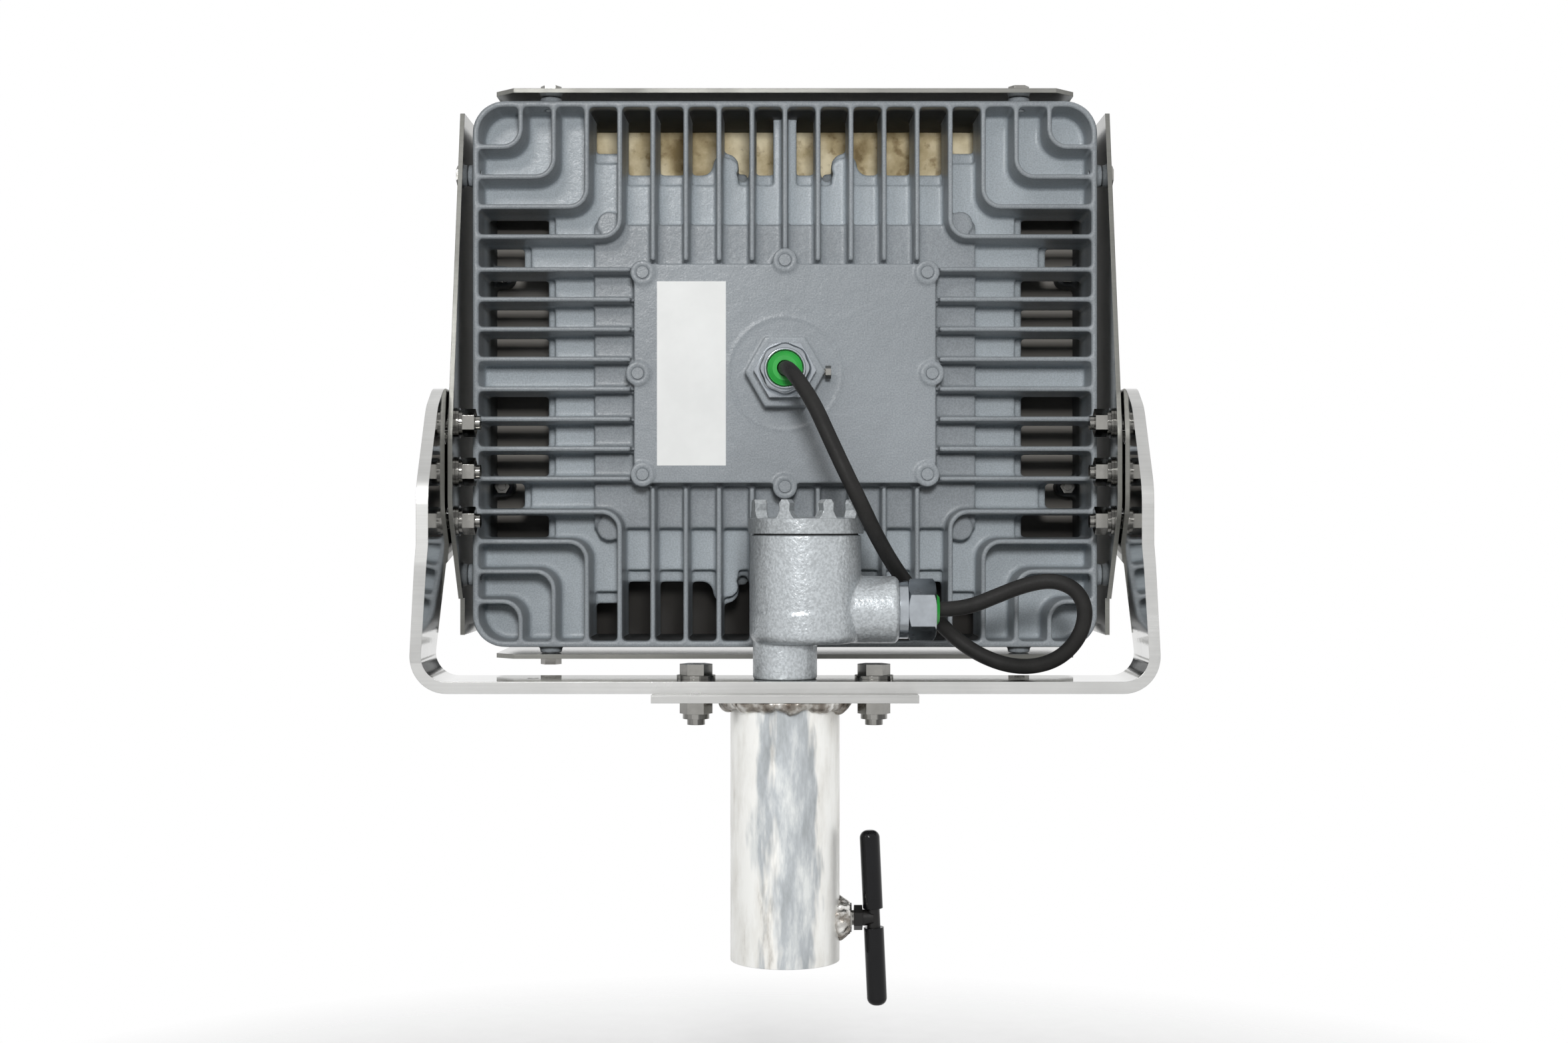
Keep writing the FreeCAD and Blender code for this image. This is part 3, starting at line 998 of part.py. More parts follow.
CORD_ROUTE = [
    (0.0, 44.0, 397.8), (0.2, 29.5, 397.7), (3.0, 14.0, 395.5), (9.3, -0.5, 387.0), (19.4, -12.0, 370.5),
    (29.0, -21.0, 348.5), (39.0, -27.0, 326.5), (49.5, -28.0, 305.0), (59.6, -16.0, 284.5), (73.2, 11.0, 262.5),
    (89.5, 29.0, 241.5), (107.5, 33.0, 220.8), (126.2, 29.0, 204.8), (146.8, 20.0, 195.6), (166.0, 10.0, 194.0),
    (183.8, 0.0, 200.5), (196.2, -8.0, 215.2), (200.2, -12.0, 233.0), (194.0, -12.0, 247.2), (179.0, -9.5, 253.8),
    (160.5, -5.5, 250.5), (142.0, -2.0, 243.0), (125.5, 0.0, 236.0), (110.0, 0.1, 233.6), (95.0, 0.0, 233.5),
]
ARC_SHARE = 0.45


def make_cord():
    """A round tube on straight runs joined by tangent arcs, each as large as its runs allow."""
    points = [Vector(*point) for point in CORD_ROUTE]
    edges = []
    start = points[0]
    for before, corner, after in zip(points, points[1:], points[2:]):
        way_in = (corner - before).normalize()
        way_out = (after - corner).normalize()
        turn = way_in.getAngle(way_out)
        reach = ARC_SHARE * min((corner - before).Length, (after - corner).Length)
        radius = reach / math.tan(turn / 2)
        enter = corner - way_in * reach
        leave = corner + way_out * reach
        bisector = (way_out - way_in).normalize()
        middle = corner + bisector * (radius / math.cos(turn / 2) - radius)
        edges.append(Part.LineSegment(start, enter).toShape())
        edges.append(Part.Arc(enter, middle, leave).toShape())
        start = leave
        print("cord bend radius %.1f mm" % radius)
    edges.append(Part.LineSegment(start, points[-1]).toShape())
    path = Part.Wire(edges)
    radius = DIMENSIONS["cord_r"]
    ring = Part.Wire(Part.makeCircle(radius, points[0], points[1] - points[0]))
    tube = path.makePipeShell([ring], True, False, 2)
    expected = math.pi * radius ** 2 * path.Length
    print("cord length %.1f mm, volume %.0f of %.0f mm3" % (path.Length, tube.Volume, expected))
    cord = doc.addObject("Part::Feature", "Cord")
    cord.Shape = tube
    cord.Placement = FreeCAD.Placement()
    node("supply_cord", cord)


make_clamp(make_pole_fitter())
make_yoke()
make_base_bolts()
make_conduit_box()
bay_y, chamber_y, seat_y = make_housing()
make_rear_cover(bay_y)
make_front(seat_y)
make_light_engine(bay_y, chamber_y)
make_guards()
make_tilt_bolts()
make_cord()
doc.recompute()

# Every object and every piece has to be sound before anything is written
for thing in doc.Objects:
    if "Invalid" in thing.State or "Error" in thing.State:
        raise RuntimeError("%s failed: %s" % (thing.Name, thing.State))
for label, thing in nodes.items():
    if thing.Shape.isNull() or not thing.Shape.isValid() or not thing.Shape.Solids:
        raise RuntimeError("%s has no sound shape" % label)
os.makedirs("parts", exist_ok=True)
for label, thing in nodes.items():
    thing.Shape.exportStep("parts/%s.step" % label)
print("wrote %d pieces" % len(nodes))
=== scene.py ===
import json
import math
import bpy
import bmesh
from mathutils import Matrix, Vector, noise


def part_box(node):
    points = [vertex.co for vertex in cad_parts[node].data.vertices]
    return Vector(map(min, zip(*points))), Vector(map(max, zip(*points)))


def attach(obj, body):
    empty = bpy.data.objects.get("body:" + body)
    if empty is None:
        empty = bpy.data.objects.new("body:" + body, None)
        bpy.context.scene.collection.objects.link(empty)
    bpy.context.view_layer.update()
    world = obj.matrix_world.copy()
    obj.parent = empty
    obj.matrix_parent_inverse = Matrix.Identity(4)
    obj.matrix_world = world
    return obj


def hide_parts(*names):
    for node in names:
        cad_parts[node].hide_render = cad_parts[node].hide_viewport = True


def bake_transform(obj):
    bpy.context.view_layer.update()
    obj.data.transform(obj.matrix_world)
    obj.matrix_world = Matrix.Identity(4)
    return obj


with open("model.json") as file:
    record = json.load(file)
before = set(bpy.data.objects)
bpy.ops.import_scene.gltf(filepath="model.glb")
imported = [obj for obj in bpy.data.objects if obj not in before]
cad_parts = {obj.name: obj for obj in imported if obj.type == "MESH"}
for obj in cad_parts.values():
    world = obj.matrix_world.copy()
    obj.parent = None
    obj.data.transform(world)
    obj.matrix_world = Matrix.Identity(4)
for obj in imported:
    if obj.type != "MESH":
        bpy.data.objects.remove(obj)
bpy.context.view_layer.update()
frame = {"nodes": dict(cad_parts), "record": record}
nodes = frame["nodes"]
scene = bpy.context.scene

# Camera, set where the photograph was taken from
camera = bpy.data.objects.new("camera", bpy.data.cameras.new("camera"))
scene.collection.objects.link(camera)
camera.location = (-0.00067, -1.425, 0.2925)
camera.rotation_euler = (math.radians(90), 0, 0)
camera.data.sensor_width = 36.0
camera.data.lens = 48.89
camera.data.clip_start = 0.01
scene.camera = camera
scene.view_settings.view_transform = "Standard"


# Node materials; an output is handed on as a pair of its node and the name or number of its socket

RANGE_SOCKETS = ("From Min", "From Max", "To Min", "To Max")
MIX_FACTOR, MIX_FIRST, MIX_SECOND, MIX_RESULT = 0, 6, 7, 2


class Shader:
    """A material's node tree with short ways to add and link nodes."""

    def __init__(self, name):
        self.material = bpy.data.materials.new(name)
        self.material.use_nodes = True
        self.tree = self.material.node_tree
        self.tree.nodes.clear()
        self.output = self.add("OutputMaterial")
        self.bsdf = self.add("BsdfPrincipled")
        self.link((self.bsdf, "BSDF"), self.output, "Surface")
        self.place = self.add("TexCoord")

    def add(self, kind, **values):
        """A new node with its settings."""
        made = self.tree.nodes.new("ShaderNode" + kind)
        for key, value in values.items():
            setattr(made, key, value)
        return made

    def link(self, source, target, socket):
        """Lead an output to a node's input."""
        node, out = source
        self.tree.links.new(node.outputs[out], target.inputs[socket])

    def feed(self, value, target, socket):
        """Give an input an output, a colour or a number."""
        if not isinstance(value, tuple):
            target.inputs[socket].default_value = value
        elif isinstance(value[0], (int, float)):
            target.inputs[socket].default_value = (*value, 1)
        else:
            self.link(value, target, socket)

    def axes(self, of="Object"):
        """X, Y and Z of a point's place, or of its normal."""
        split = self.add("SeparateXYZ")
        self.link((self.place, of), split, "Vector")
        return [(split, axis) for axis in "XYZ"]

    def noise(self, scale, detail=3.0, stretch=(1, 1, 1), rough=0.55):
        """Noise through the solid, with its own scale along each axis."""
        mapping = self.add("Mapping")
        mapping.inputs["Scale"].default_value = stretch
        self.link((self.place, "Object"), mapping, "Vector")
        made = self.add("TexNoise")
        made.inputs["Scale"].default_value = scale
        made.inputs["Detail"].default_value = detail
        made.inputs["Roughness"].default_value = rough
        self.link((mapping, "Vector"), made, "Vector")
        return made, "Fac"

    def ramp(self, source, stops):
        """Turn an output into a colour."""
        made = self.add("ValToRGB")
        ramp = made.color_ramp
        while len(ramp.elements) < len(stops):
            ramp.elements.new(0.5)
        for element, (at, colour) in zip(ramp.elements, stops):
            element.position = at
            element.color = (*colour, 1)
        self.link(source, made, "Fac")
        return made, "Color"

    def mix(self, first, second, factor, mode="MIX"):
        """Mix two colours by a factor."""
        made = self.add("Mix", data_type="RGBA", blend_type=mode)
        self.feed(factor, made, MIX_FACTOR)
        self.feed(first, made, MIX_FIRST)
        self.feed(second, made, MIX_SECOND)
        return made, MIX_RESULT

    def span(self, source, low, high, to_low, to_high):
        """Carry an output's range over to another one."""
        made = self.add("MapRange")
        for socket, value in zip(RANGE_SOCKETS, (low, high, to_low, to_high)):
            made.inputs[socket].default_value = value
        self.link(source, made, "Value")
        return made, "Result"

    def math(self, operation, first, second=None):
        """One sum of outputs or numbers."""
        made = self.add("Math", operation=operation)
        self.feed(first, made, 0)
        if second is not None:
            self.feed(second, made, 1)
        return made, "Value"

    def bump(self, heights, edge=0.0):
        """Stack bumps given as output, strength and distance; edge softens the solid's own corners."""
        last = None
        if edge:
            last = self.add("Bevel", samples=4)
            last.inputs["Radius"].default_value = edge
        for source, strength, distance in heights:
            made = self.add("Bump")
            made.inputs["Strength"].default_value = strength
            made.inputs["Distance"].default_value = distance
            self.link(source, made, "Height")
            if last is not None:
                self.link((last, "Normal"), made, "Normal")
            last = made
        self.link((last, "Normal"), self.bsdf, "Normal")

    def surface(self, colour, dull):
        """Give the surface its colour and roughness."""
        self.link(colour, self.bsdf, "Base Color")
        self.link(dull, self.bsdf, "Roughness")

    def set(self, **values):
        """Set the surface's other numbers, with _ for a blank in a name."""
        for key, value in values.items():
            self.bsdf.inputs[key.replace("_", " ")].default_value = value


# Places on the lamp that its finishes follow
LAMP_Z = 0.3978
RIM_HALF_X, RIM_HALF_Z = 0.2208, 0.1928
RIM_Y, FLOOR_Y, LIP_Y, FRONT_Y = 0.094, 0.132, 0.142, 0.197
WALL_SHARE, OPENING_SHARE = 0.976, 0.64
GOLD_FROM, GOLD_TO = 0.545, 0.549
# Heights over which the painted shade on the frame plate's back grows darker towards the bottom.
LOW_SHADE_FROM, LOW_SHADE_TO = 0.27, 0.31

PAINT = (0.268, 0.292, 0.312)
# The floor inside the rim is made paler: painted light.
PAINTED_FLOOR_LIGHT = (1.44, 1.46, 1.46)
# Painted shade: the dark deep in the rim's openings and on its upper and lower inner walls.
PAINTED_RIM_SHADE = (0.030, 0.029, 0.027)
# Painted shade on the frame plate's back below the gold band, darker towards the bottom.
PAINTED_LOW_SHADE, PAINTED_UPPER_SHADE = (0.030, 0.028, 0.026), (0.20, 0.19, 0.175)
# How much painted shade covers the deep openings and the inner walls.
DEEP_COVER, WALL_COVER = 0.78, 0.92


def tint(colour, factor):
    """A colour made darker or lighter, white at most."""
    return tuple(min(1.0, c * factor) for c in colour)


def inside_rim(s):
    """Two masks: painted shade, deep in the openings and on the rim's upper and lower inner walls,
    and painted light that makes the floor pale."""
    x, y, z = s.axes()
    shares = []
    for axis, middle, half in ((x, 0.0, RIM_HALF_X), (z, LAMP_Z, RIM_HALF_Z)):
        size = s.math("ABSOLUTE", s.math("SUBTRACT", axis, middle))
        shares.append(s.math("DIVIDE", size, half))
    within = s.math("LESS_THAN", s.math("MAXIMUM", *shares), 1.0)
    # Painted shade deep in the openings
    deep = s.span(y, LIP_Y - 0.002, LIP_Y + 0.020, 0.0, DEEP_COVER)
    # Painted shade on the rim's upper and lower inner walls, between the openings' sides
    at_wall = s.math("GREATER_THAN", shares[1], WALL_SHARE)
    wall = s.math("MULTIPLY", at_wall, s.math("LESS_THAN", shares[0], OPENING_SHARE))
    behind = s.span(y, RIM_Y + 0.004, RIM_Y + 0.016, 0.0, WALL_COVER)
    painted_shade = s.math("MAXIMUM", deep, s.math("MULTIPLY", wall, behind))
    # Painted light: the floor is made paler
    floor = s.span(y, FLOOR_Y - 0.014, FLOOR_Y - 0.002, 0.0, 1.0)
    return s.math("MULTIPLY", within, painted_shade), s.math("MULTIPLY", within, floor)


def cast_paint(name, colour, grain, rough, metallic=0.0, strength=0.35, speckle=0.14, deep=False):
    """Paint or shot-blast finish on a casting: fine pebbling, soft blotches and specks; deep adds the
    painted shade in the openings and on the inner walls, and the painted light of the pale floor inside
    the rim."""
    s = Shader(name)
    blotch = s.noise(9.0, 4.0)
    tone = s.ramp(blotch, [(0.30, tint(colour, 0.86)), (0.52, colour), (0.74, tint(colour, 1.12))])
    speck = s.noise(grain * 1.3, 2.0)
    fleck = s.ramp(speck, [(0.38, (1 - speckle,) * 3), (0.62, (1 + speckle * 0.5,) * 3)])
    mixed = s.mix(tone, fleck, 1.0, "MULTIPLY")
    pebble = s.noise(grain, 2.0)
    swell = s.noise(110.0, 3.0)
    dull = s.span(pebble, 0.3, 0.7, rough - 0.07, rough + 0.08)
    if deep:
        painted_shade, floor = inside_rim(s)
        # Painted light makes the floor paler; painted shade darkens the openings and the inner walls
        mixed = s.mix(mixed, PAINTED_FLOOR_LIGHT, floor, "MULTIPLY")
        mixed = s.mix(mixed, PAINTED_RIM_SHADE, painted_shade)
        dull = s.math("MAXIMUM", dull, painted_shade)
    s.surface(mixed, dull)
    s.set(Metallic=metallic)
    s.bump([(swell, 0.30, 0.0014), (pebble, strength, 0.0004)], edge=0.0008)
    return s.material


def worked_metal(name, colour, rough, scratch=0.10, blotch=0.14, polish=None):
    """Bare sheet with faint drawing lines along X, soft stains and small nicks; with polish, its faces
    are that smooth and only the cut edges stay matt."""
    s = Shader(name)
    lines = s.noise(1.0, 2.0, (9.0, 700.0, 700.0))
    stain = s.noise(16.0, 5.0)
    nick = s.noise(210.0, 3.0)
    tone = s.ramp(stain, [(0.30, tint(colour, 1 - blotch)), (0.55, colour),
                          (0.75, tint(colour, 1 + blotch))])
    line = s.ramp(lines, [(0.35, (1 - scratch,) * 3), (0.65, (1 + scratch * 0.5,) * 3)])
    mixed = s.mix(tone, line, 1.0, "MULTIPLY")
    dull = s.span(stain, 0.3, 0.7, rough + 0.10, rough - 0.06)
    if polish is not None:
        facing = s.axes("Normal")[1]
        edge_on = s.span(s.math("ABSOLUTE", facing), 0.45, 0.75, 0.0, 1.0)
        gap = s.math("SUBTRACT", dull, polish)
        dull = s.math("ADD", s.math("MULTIPLY", gap, edge_on), polish)
    s.surface(mixed, dull)
    s.set(Metallic=1.0)
    s.bump([(lines, 0.05, 0.0002), (nick, 0.06, 0.0004)], edge=0.0006)
    return s.material


def bright_metal(name, colour, rough, edge=0.0005, facets=False):
    """Machined or plated hardware with a little handling haze; facets gives each side its own tone,
    lighter or darker by chance, a painted reflection.
    """
    s = Shader(name)
    haze = s.noise(120.0, 3.0)
    grain = s.noise(1500.0, 2.0)
    tone = s.ramp(haze, [(0.30, tint(colour, 0.86)), (0.70, tint(colour, 1.06))])
    if facets:
        # Each flat side gets its own tone, lighter or darker by chance: painted reflection
        steps = s.add("VectorMath", operation="MULTIPLY_ADD")
        steps.inputs[1].default_value = (2.6, 2.6, 2.6)
        steps.inputs[2].default_value = (0.5, 0.5, 0.5)
        s.link((s.place, "Normal"), steps, 0)
        side = s.add("VectorMath", operation="FLOOR")
        s.link((steps, "Vector"), side, 0)
        chance = s.add("TexWhiteNoise", noise_dimensions="3D")
        s.link((side, "Vector"), chance, "Vector")
        shade = s.ramp((chance, "Value"), [(0.0, (1.9,) * 3), (1.0, (0.42,) * 3)])
        tone = s.mix(tone, shade, 1.0, "MULTIPLY")
    s.surface(tone, s.span(haze, 0.3, 0.7, rough + 0.08, rough - 0.05))
    s.set(Metallic=1.0)
    s.bump([(grain, 0.06, 0.0001)], edge=edge)
    return s.material


def streaky_tube(name):
    """Pale mill-finish pipe with stains all over; its ragged blue-grey bands down the front and the back
    are a painted reflection.
    """
    s = Shader(name)
    x, y, _ = s.axes()
    # The grey bands face front and back, the pale sides left and right: painted reflection
    band = s.math("COSINE", s.math("MULTIPLY", s.math("ARCTAN2", x, y), 2.0))
    rag = s.span(s.noise(1.0, 4.0, (40.0, 40.0, 8.0), 0.60), 0.3, 0.7, -0.8, 0.8)
    reflection_band = s.span(s.math("ADD", band, rag), 0.44, 0.78, 0.0, 1.0)
    fine = s.noise(1.0, 3.0, (900.0, 900.0, 24.0))
    smear = s.noise(1.0, 5.0, (58.0, 58.0, 15.0), 0.66)
    pale = s.ramp(smear, [(0.32, (0.60, 0.58, 0.54)), (0.42, (0.88, 0.87, 0.83)),
                          (0.60, (1.0, 1.0, 0.97))])
    grey = s.ramp(smear, [(0.32, (0.34, 0.36, 0.37)), (0.50, (0.52, 0.55, 0.57)),
                          (0.64, (0.80, 0.82, 0.81))])
    s.surface(s.mix(pale, grey, reflection_band), s.span(smear, 0.35, 0.65, 0.56, 0.38))
    s.set(Metallic=0.60)
    s.bump([(fine, 0.08, 0.0002), (smear, 0.10, 0.0006)], edge=0.0006)
    return s.material


def weld_bead(name):
    """Bare weld metal, brown to bright, with fine ripples."""
    s = Shader(name)
    heat = s.noise(90.0, 3.0)
    tone = s.ramp(heat, [(0.32, (0.09, 0.07, 0.055)), (0.48, (0.29, 0.265, 0.235)),
                         (0.66, (0.80, 0.79, 0.76))])
    ripple = s.noise(420.0, 3.0)
    s.surface(tone, s.span(ripple, 0.3, 0.7, 0.22, 0.42))
    s.set(Metallic=1.0)
    s.bump([(ripple, 0.5, 0.0008)])
    return s.material


def chromate(name):
    """Plate with a painted front; behind it yellow passivation along the top, and below that painted
    shade, darker towards the bottom."""
    s = Shader(name)
    _, y, z = s.axes()
    cloud = s.noise(32.0, 5.0)
    spot = s.noise(120.0, 3.0)
    tone = s.ramp(cloud, [(0.30, (0.24, 0.18, 0.09)), (0.46, (0.52, 0.43, 0.26)),
                          (0.62, (0.80, 0.71, 0.50))])
    stain = s.ramp(spot, [(0.30, (0.50, 0.44, 0.38)), (0.44, (1.0, 1.0, 1.0))])
    gold = s.mix(tone, stain, 0.80, "MULTIPLY")
    # Painted shade: below the gold band the back is dark, darker towards the bottom
    painted_shade = s.mix(PAINTED_LOW_SHADE, PAINTED_UPPER_SHADE, s.span(z, LOW_SHADE_FROM, LOW_SHADE_TO, 0.0, 1.0))
    plated = s.mix(painted_shade, gold, s.span(z, GOLD_FROM, GOLD_TO, 0.0, 1.0))
    painted = s.ramp(cloud, [(0.30, tint(PAINT, 0.90)), (0.70, tint(PAINT, 1.08))])
    outside = s.span(y, FRONT_Y + 0.0012, FRONT_Y + 0.0018, 0.0, 1.0)
    s.surface(s.mix(plated, painted, outside), s.span(cloud, 0.3, 0.7, 0.52, 0.38))
    s.set(Specular_IOR_Level=0.3)
    s.bump([(spot, 0.15, 0.0004)], edge=0.0006)
    return s.material


def moulded(name, colour, rough, grain=600.0, strength=0.12, vary=0.15, edge=0.0005, shine=0.5):
    """Rubber or plastic with a fine surface and a little dust."""
    s = Shader(name)
    dust = s.noise(40.0, 4.0)
    tone = s.ramp(dust, [(0.35, tint(colour, 1 - vary)), (0.70, tint(colour, 1 + vary))])
    fine = s.noise(grain, 2.0)
    s.surface(tone, s.span(fine, 0.3, 0.7, rough - 0.06, rough + 0.08))
    s.set(Specular_IOR_Level=shine)
    s.bump([(fine, strength, 0.0002)], edge=edge)
    return s.material


def clear_glass(name):
    """Front glass with a thin, uneven film."""
    s = Shader(name)
    film = s.noise(16.0, 3.0)
    tone = s.ramp(film, [(0.35, (0.93, 0.97, 0.96)), (0.70, (0.98, 1.0, 0.99))])
    s.surface(tone, s.span(film, 0.3, 0.7, 0.02, 0.07))
    s.set(Transmission_Weight=1.0, IOR=1.5)
    return s.material


def phosphor(name):
    """Yellow resin of the emitters."""
    s = Shader(name)
    die = s.noise(260.0, 2.0)
    tone = s.ramp(die, [(0.35, (0.78, 0.56, 0.10)), (0.65, (0.95, 0.78, 0.28))])
    s.surface(tone, s.span(die, 0.3, 0.7, 0.30, 0.42))
    s.bump([(die, 0.1, 0.0002)], edge=0.0005)
    return s.material


SHOT_BLAST = {"grain": 430.0, "rough": 0.36, "metallic": 0.50, "strength": 1.0, "speckle": 0.18}

finishes = {
    "housing_paint": cast_paint("housing_paint", PAINT, 700.0, 0.36, deep=True),
    "cast_silver": cast_paint("cast_silver", (0.50, 0.53, 0.55), **SHOT_BLAST),
    "cap_silver": cast_paint("cap_silver", (0.42, 0.445, 0.46), **SHOT_BLAST),
    "plate_steel": worked_metal("plate_steel", (0.50, 0.50, 0.49), 0.36, scratch=0.04, polish=0.12),
    "guard_sheet": worked_metal("guard_sheet", (0.21, 0.21, 0.195), 0.40, scratch=0.06, blotch=0.22,
                                polish=0.10),
    "yoke_steel": worked_metal("yoke_steel", (0.57, 0.57, 0.56), 0.32, scratch=0.04, polish=0.05),
    "stainless": bright_metal("stainless", (0.175, 0.172, 0.162), 0.12, facets=True),
    "black_steel": moulded("black_steel", (0.010, 0.0095, 0.009), 0.34, grain=260.0, strength=0.35,
                           vary=0.3, shine=0.3),
    "tube_metal": streaky_tube("tube_metal"),
    "weld_metal": weld_bead("weld_metal"),
    "gland_metal": bright_metal("gland_metal", (0.40, 0.43, 0.46), 0.20, edge=0.0007),
    "frame_gold": chromate("frame_gold"),
    "cord_rubber": moulded("cord_rubber", (0.014, 0.0135, 0.013), 0.55, grain=900.0, strength=0.25,
                           vary=0.35, edge=0.0, shine=0.25),
    "gasket_rubber": moulded("gasket_rubber", (0.03, 0.03, 0.03), 0.70),
    "bushing_green": moulded("bushing_green", (0.020, 0.34, 0.045), 0.42),
    "grip_black": moulded("grip_black", (0.004, 0.004, 0.005), 0.10, grain=160.0, strength=0.05,
                          vary=0.2, edge=0.001, shine=0.25),
    "label_white": moulded("label_white", (0.80, 0.81, 0.80), 0.45, grain=500.0, strength=0.05,
                           vary=0.03, edge=0.0),
    "clear_glass": clear_glass("clear_glass"),
    "board_white": moulded("board_white", (0.74, 0.76, 0.74), 0.5, grain=300.0, strength=0.05, vary=0.05),
    "emitter_yellow": phosphor("emitter_yellow"),
    "driver_case": worked_metal("driver_case", (0.55, 0.56, 0.57), 0.42),
    "terminal_green": moulded("terminal_green", (0.05, 0.20, 0.08), 0.5),
}


def dress(obj, slot):
    """Give a piece one finish."""
    obj.data.materials.clear()
    obj.data.materials.append(finishes[slot])


slot_of = {part["node"]: part["material_slot"] for part in frame["record"]["subparts"]}
for name, obj in nodes.items():
    dress(obj, slot_of[name])
for name in ("top_guard", "bottom_guard", "left_guard", "right_guard"):
    dress(nodes[name], "guard_sheet")
dress(nodes["conduit_cover"], "cap_silver")


# Small bevels on the hard-edged hardware
EDGE_WIDTH, EDGE_ANGLE = 0.0005, math.radians(35)
for name in ("base_bolts", "base_nuts", "tilt_nuts", "pivot_bolts", "lock_bolts", "guard_bolts",
             "frame_nuts"):
    edges = nodes[name].modifiers.new("edges", "BEVEL")
    edges.width = EDGE_WIDTH
    edges.segments = 2
    edges.limit_method = "ANGLE"
    edges.angle_limit = EDGE_ANGLE
    edges.use_clamp_overlap = True
    edges.harden_normals = False


def add_mesh(name, mesh, slot, body):
    """A smooth piece of the scene's own, on a body unless it bends between two."""
    obj = bpy.data.objects.new(name, mesh)
    scene.collection.objects.link(obj)
    dress(obj, slot)
    if body:
        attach(obj, body)
    for face in mesh.polygons:
        face.use_smooth = True
    return obj


def modified_mesh(obj):
    """An object's mesh after its modifiers, or a curve's points as a mesh."""
    bpy.context.view_layer.update()
    return bpy.data.meshes.new_from_object(obj.evaluated_get(bpy.context.evaluated_depsgraph_get()))


bodies = frame["record"]["behaviour"]["bodies"]
body_of = {node: body for body, held in bodies.items() for node in held}


def cast_copy(name, node, voxel, rounds, keep):
    """A casting's soft form: the node's solid remeshed, its edges and inner corners rubbed round."""
    source = bpy.data.objects.new(name + "_source", nodes[node].data.copy())
    scene.collection.objects.link(source)
    remesh = source.modifiers.new("remesh", "REMESH")
    remesh.mode = "VOXEL"
    remesh.voxel_size = voxel
    smooth = source.modifiers.new("smooth", "SMOOTH")
    smooth.factor = 0.5
    smooth.iterations = rounds
    fewer = source.modifiers.new("fewer", "DECIMATE")
    fewer.ratio = keep
    mesh = modified_mesh(source)
    bpy.data.meshes.remove(source.data)
    mesh.name = name
    obj = add_mesh(name, mesh, slot_of[node], body_of[node])
    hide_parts(node)


cast_copy("housing_casting", "heat_sink_housing", voxel=0.0013, rounds=4, keep=0.3)
cast_copy("box_casting", "conduit_box", voxel=0.0008, rounds=10, keep=0.4)
cast_copy("cover_casting", "rear_cover", voxel=0.0009, rounds=4, keep=0.4)


def loft(name, rings, closed_ends):
    """A skin over rings of points; each ring is closed, and so is the run unless it has flat ends."""
    made = bmesh.new()
    rows = [[made.verts.new(point) for point in ring] for ring in rings]
    pairs = list(zip(rows, rows[1:])) + ([] if closed_ends else [(rows[-1], rows[0])])
    for first, second in pairs:
        for k in range(len(first)):
            after = (k + 1) % len(first)
            made.faces.new((first[k], first[after], second[after], second[k]))
    if closed_ends:
        made.faces.new(list(reversed(rows[0])))
        made.faces.new(rows[-1])
    bmesh.ops.recalc_face_normals(made, faces=made.faces)
    mesh = bpy.data.meshes.new(name)
    made.to_mesh(mesh)
    made.free()
    return mesh


# Welds: lumpy beads laid in overlapping scales
def lump(place, amount):
    """How far the bead swells or sinks at a place in the noise."""
    return amount * noise.noise(place)


def collar_weld():
    """Fillet bead under the flange, round the tube, its back sunk in the tube's wall."""
    low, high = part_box("tube_weld")
    tube_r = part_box("slip_fitter_tube")[1].x
    leg, top = high.z - low.z, high.z
    back_r = tube_r - 0.001
    steps, scales, spans = 220, 46, 10
    rings = []
    for i in range(steps):
        turn = 2 * math.pi * i / steps
        out = Vector((math.cos(turn), math.sin(turn), 0))
        scale = 0.5 + 0.5 * math.cos(scales * turn)
        width = leg * (0.95 + 0.06 * scale) + lump(out * 3.1, 0.0026)
        drop = leg * (0.80 + 0.06 * scale) + lump(out * 4.1 + Vector((7, 0, 0)), 0.0052)
        ring = []
        for k in range(spans + 1):
            part = math.pi / 2 * k / spans
            bulge = 1.0 + 0.10 * math.sin(2 * part)
            level = Vector((0, 0, top - drop * bulge * math.cos(part)))
            ring.append(out * (tube_r + width * bulge * math.sin(part)) + level)
        ring.append(out * back_r + Vector((0, 0, top)))
        ring.append(out * back_r + Vector((0, 0, top - drop)))
        rings.append(ring)
    return loft("collar_bead", rings, False)


def nut_weld():
    """Lumpy cone of weld round the clamp nut, its foot sunk in the tube's wall."""
    low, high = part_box("clamp_nut_weld")
    middle = (low + high) / 2
    foot_r = (high.z - low.z) / 2
    tip_r = foot_r * 0.70
    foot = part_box("slip_fitter_tube")[1].x - 0.0035
    steps, around, scales = 14, 96, 15
    rings = []
    for i in range(steps + 1):
        share = i / steps
        x = foot + (high.x - foot) * share
        ring = []
        for k in range(around):
            turn = 2 * math.pi * k / around
            out = Vector((0, math.cos(turn), math.sin(turn)))
            radius = foot_r + (tip_r - foot_r) * share ** 1.4
            radius += 0.0006 * math.cos(scales * turn + 5 * share) * (1 - 0.4 * share)
            radius += lump(Vector((x, 0, 0)) * 300 + out * 2.6, 0.0014)
            ring.append(Vector((x, middle.y, middle.z)) + out * min(radius, foot_r))
        rings.append(ring)
    return loft("nut_bead", rings, True)


for node, mesh in (("tube_weld", collar_weld()), ("clamp_nut_weld", nut_weld())):
    bead = add_mesh(mesh.name, mesh, "weld_metal", body_of[node])
    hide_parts(node)


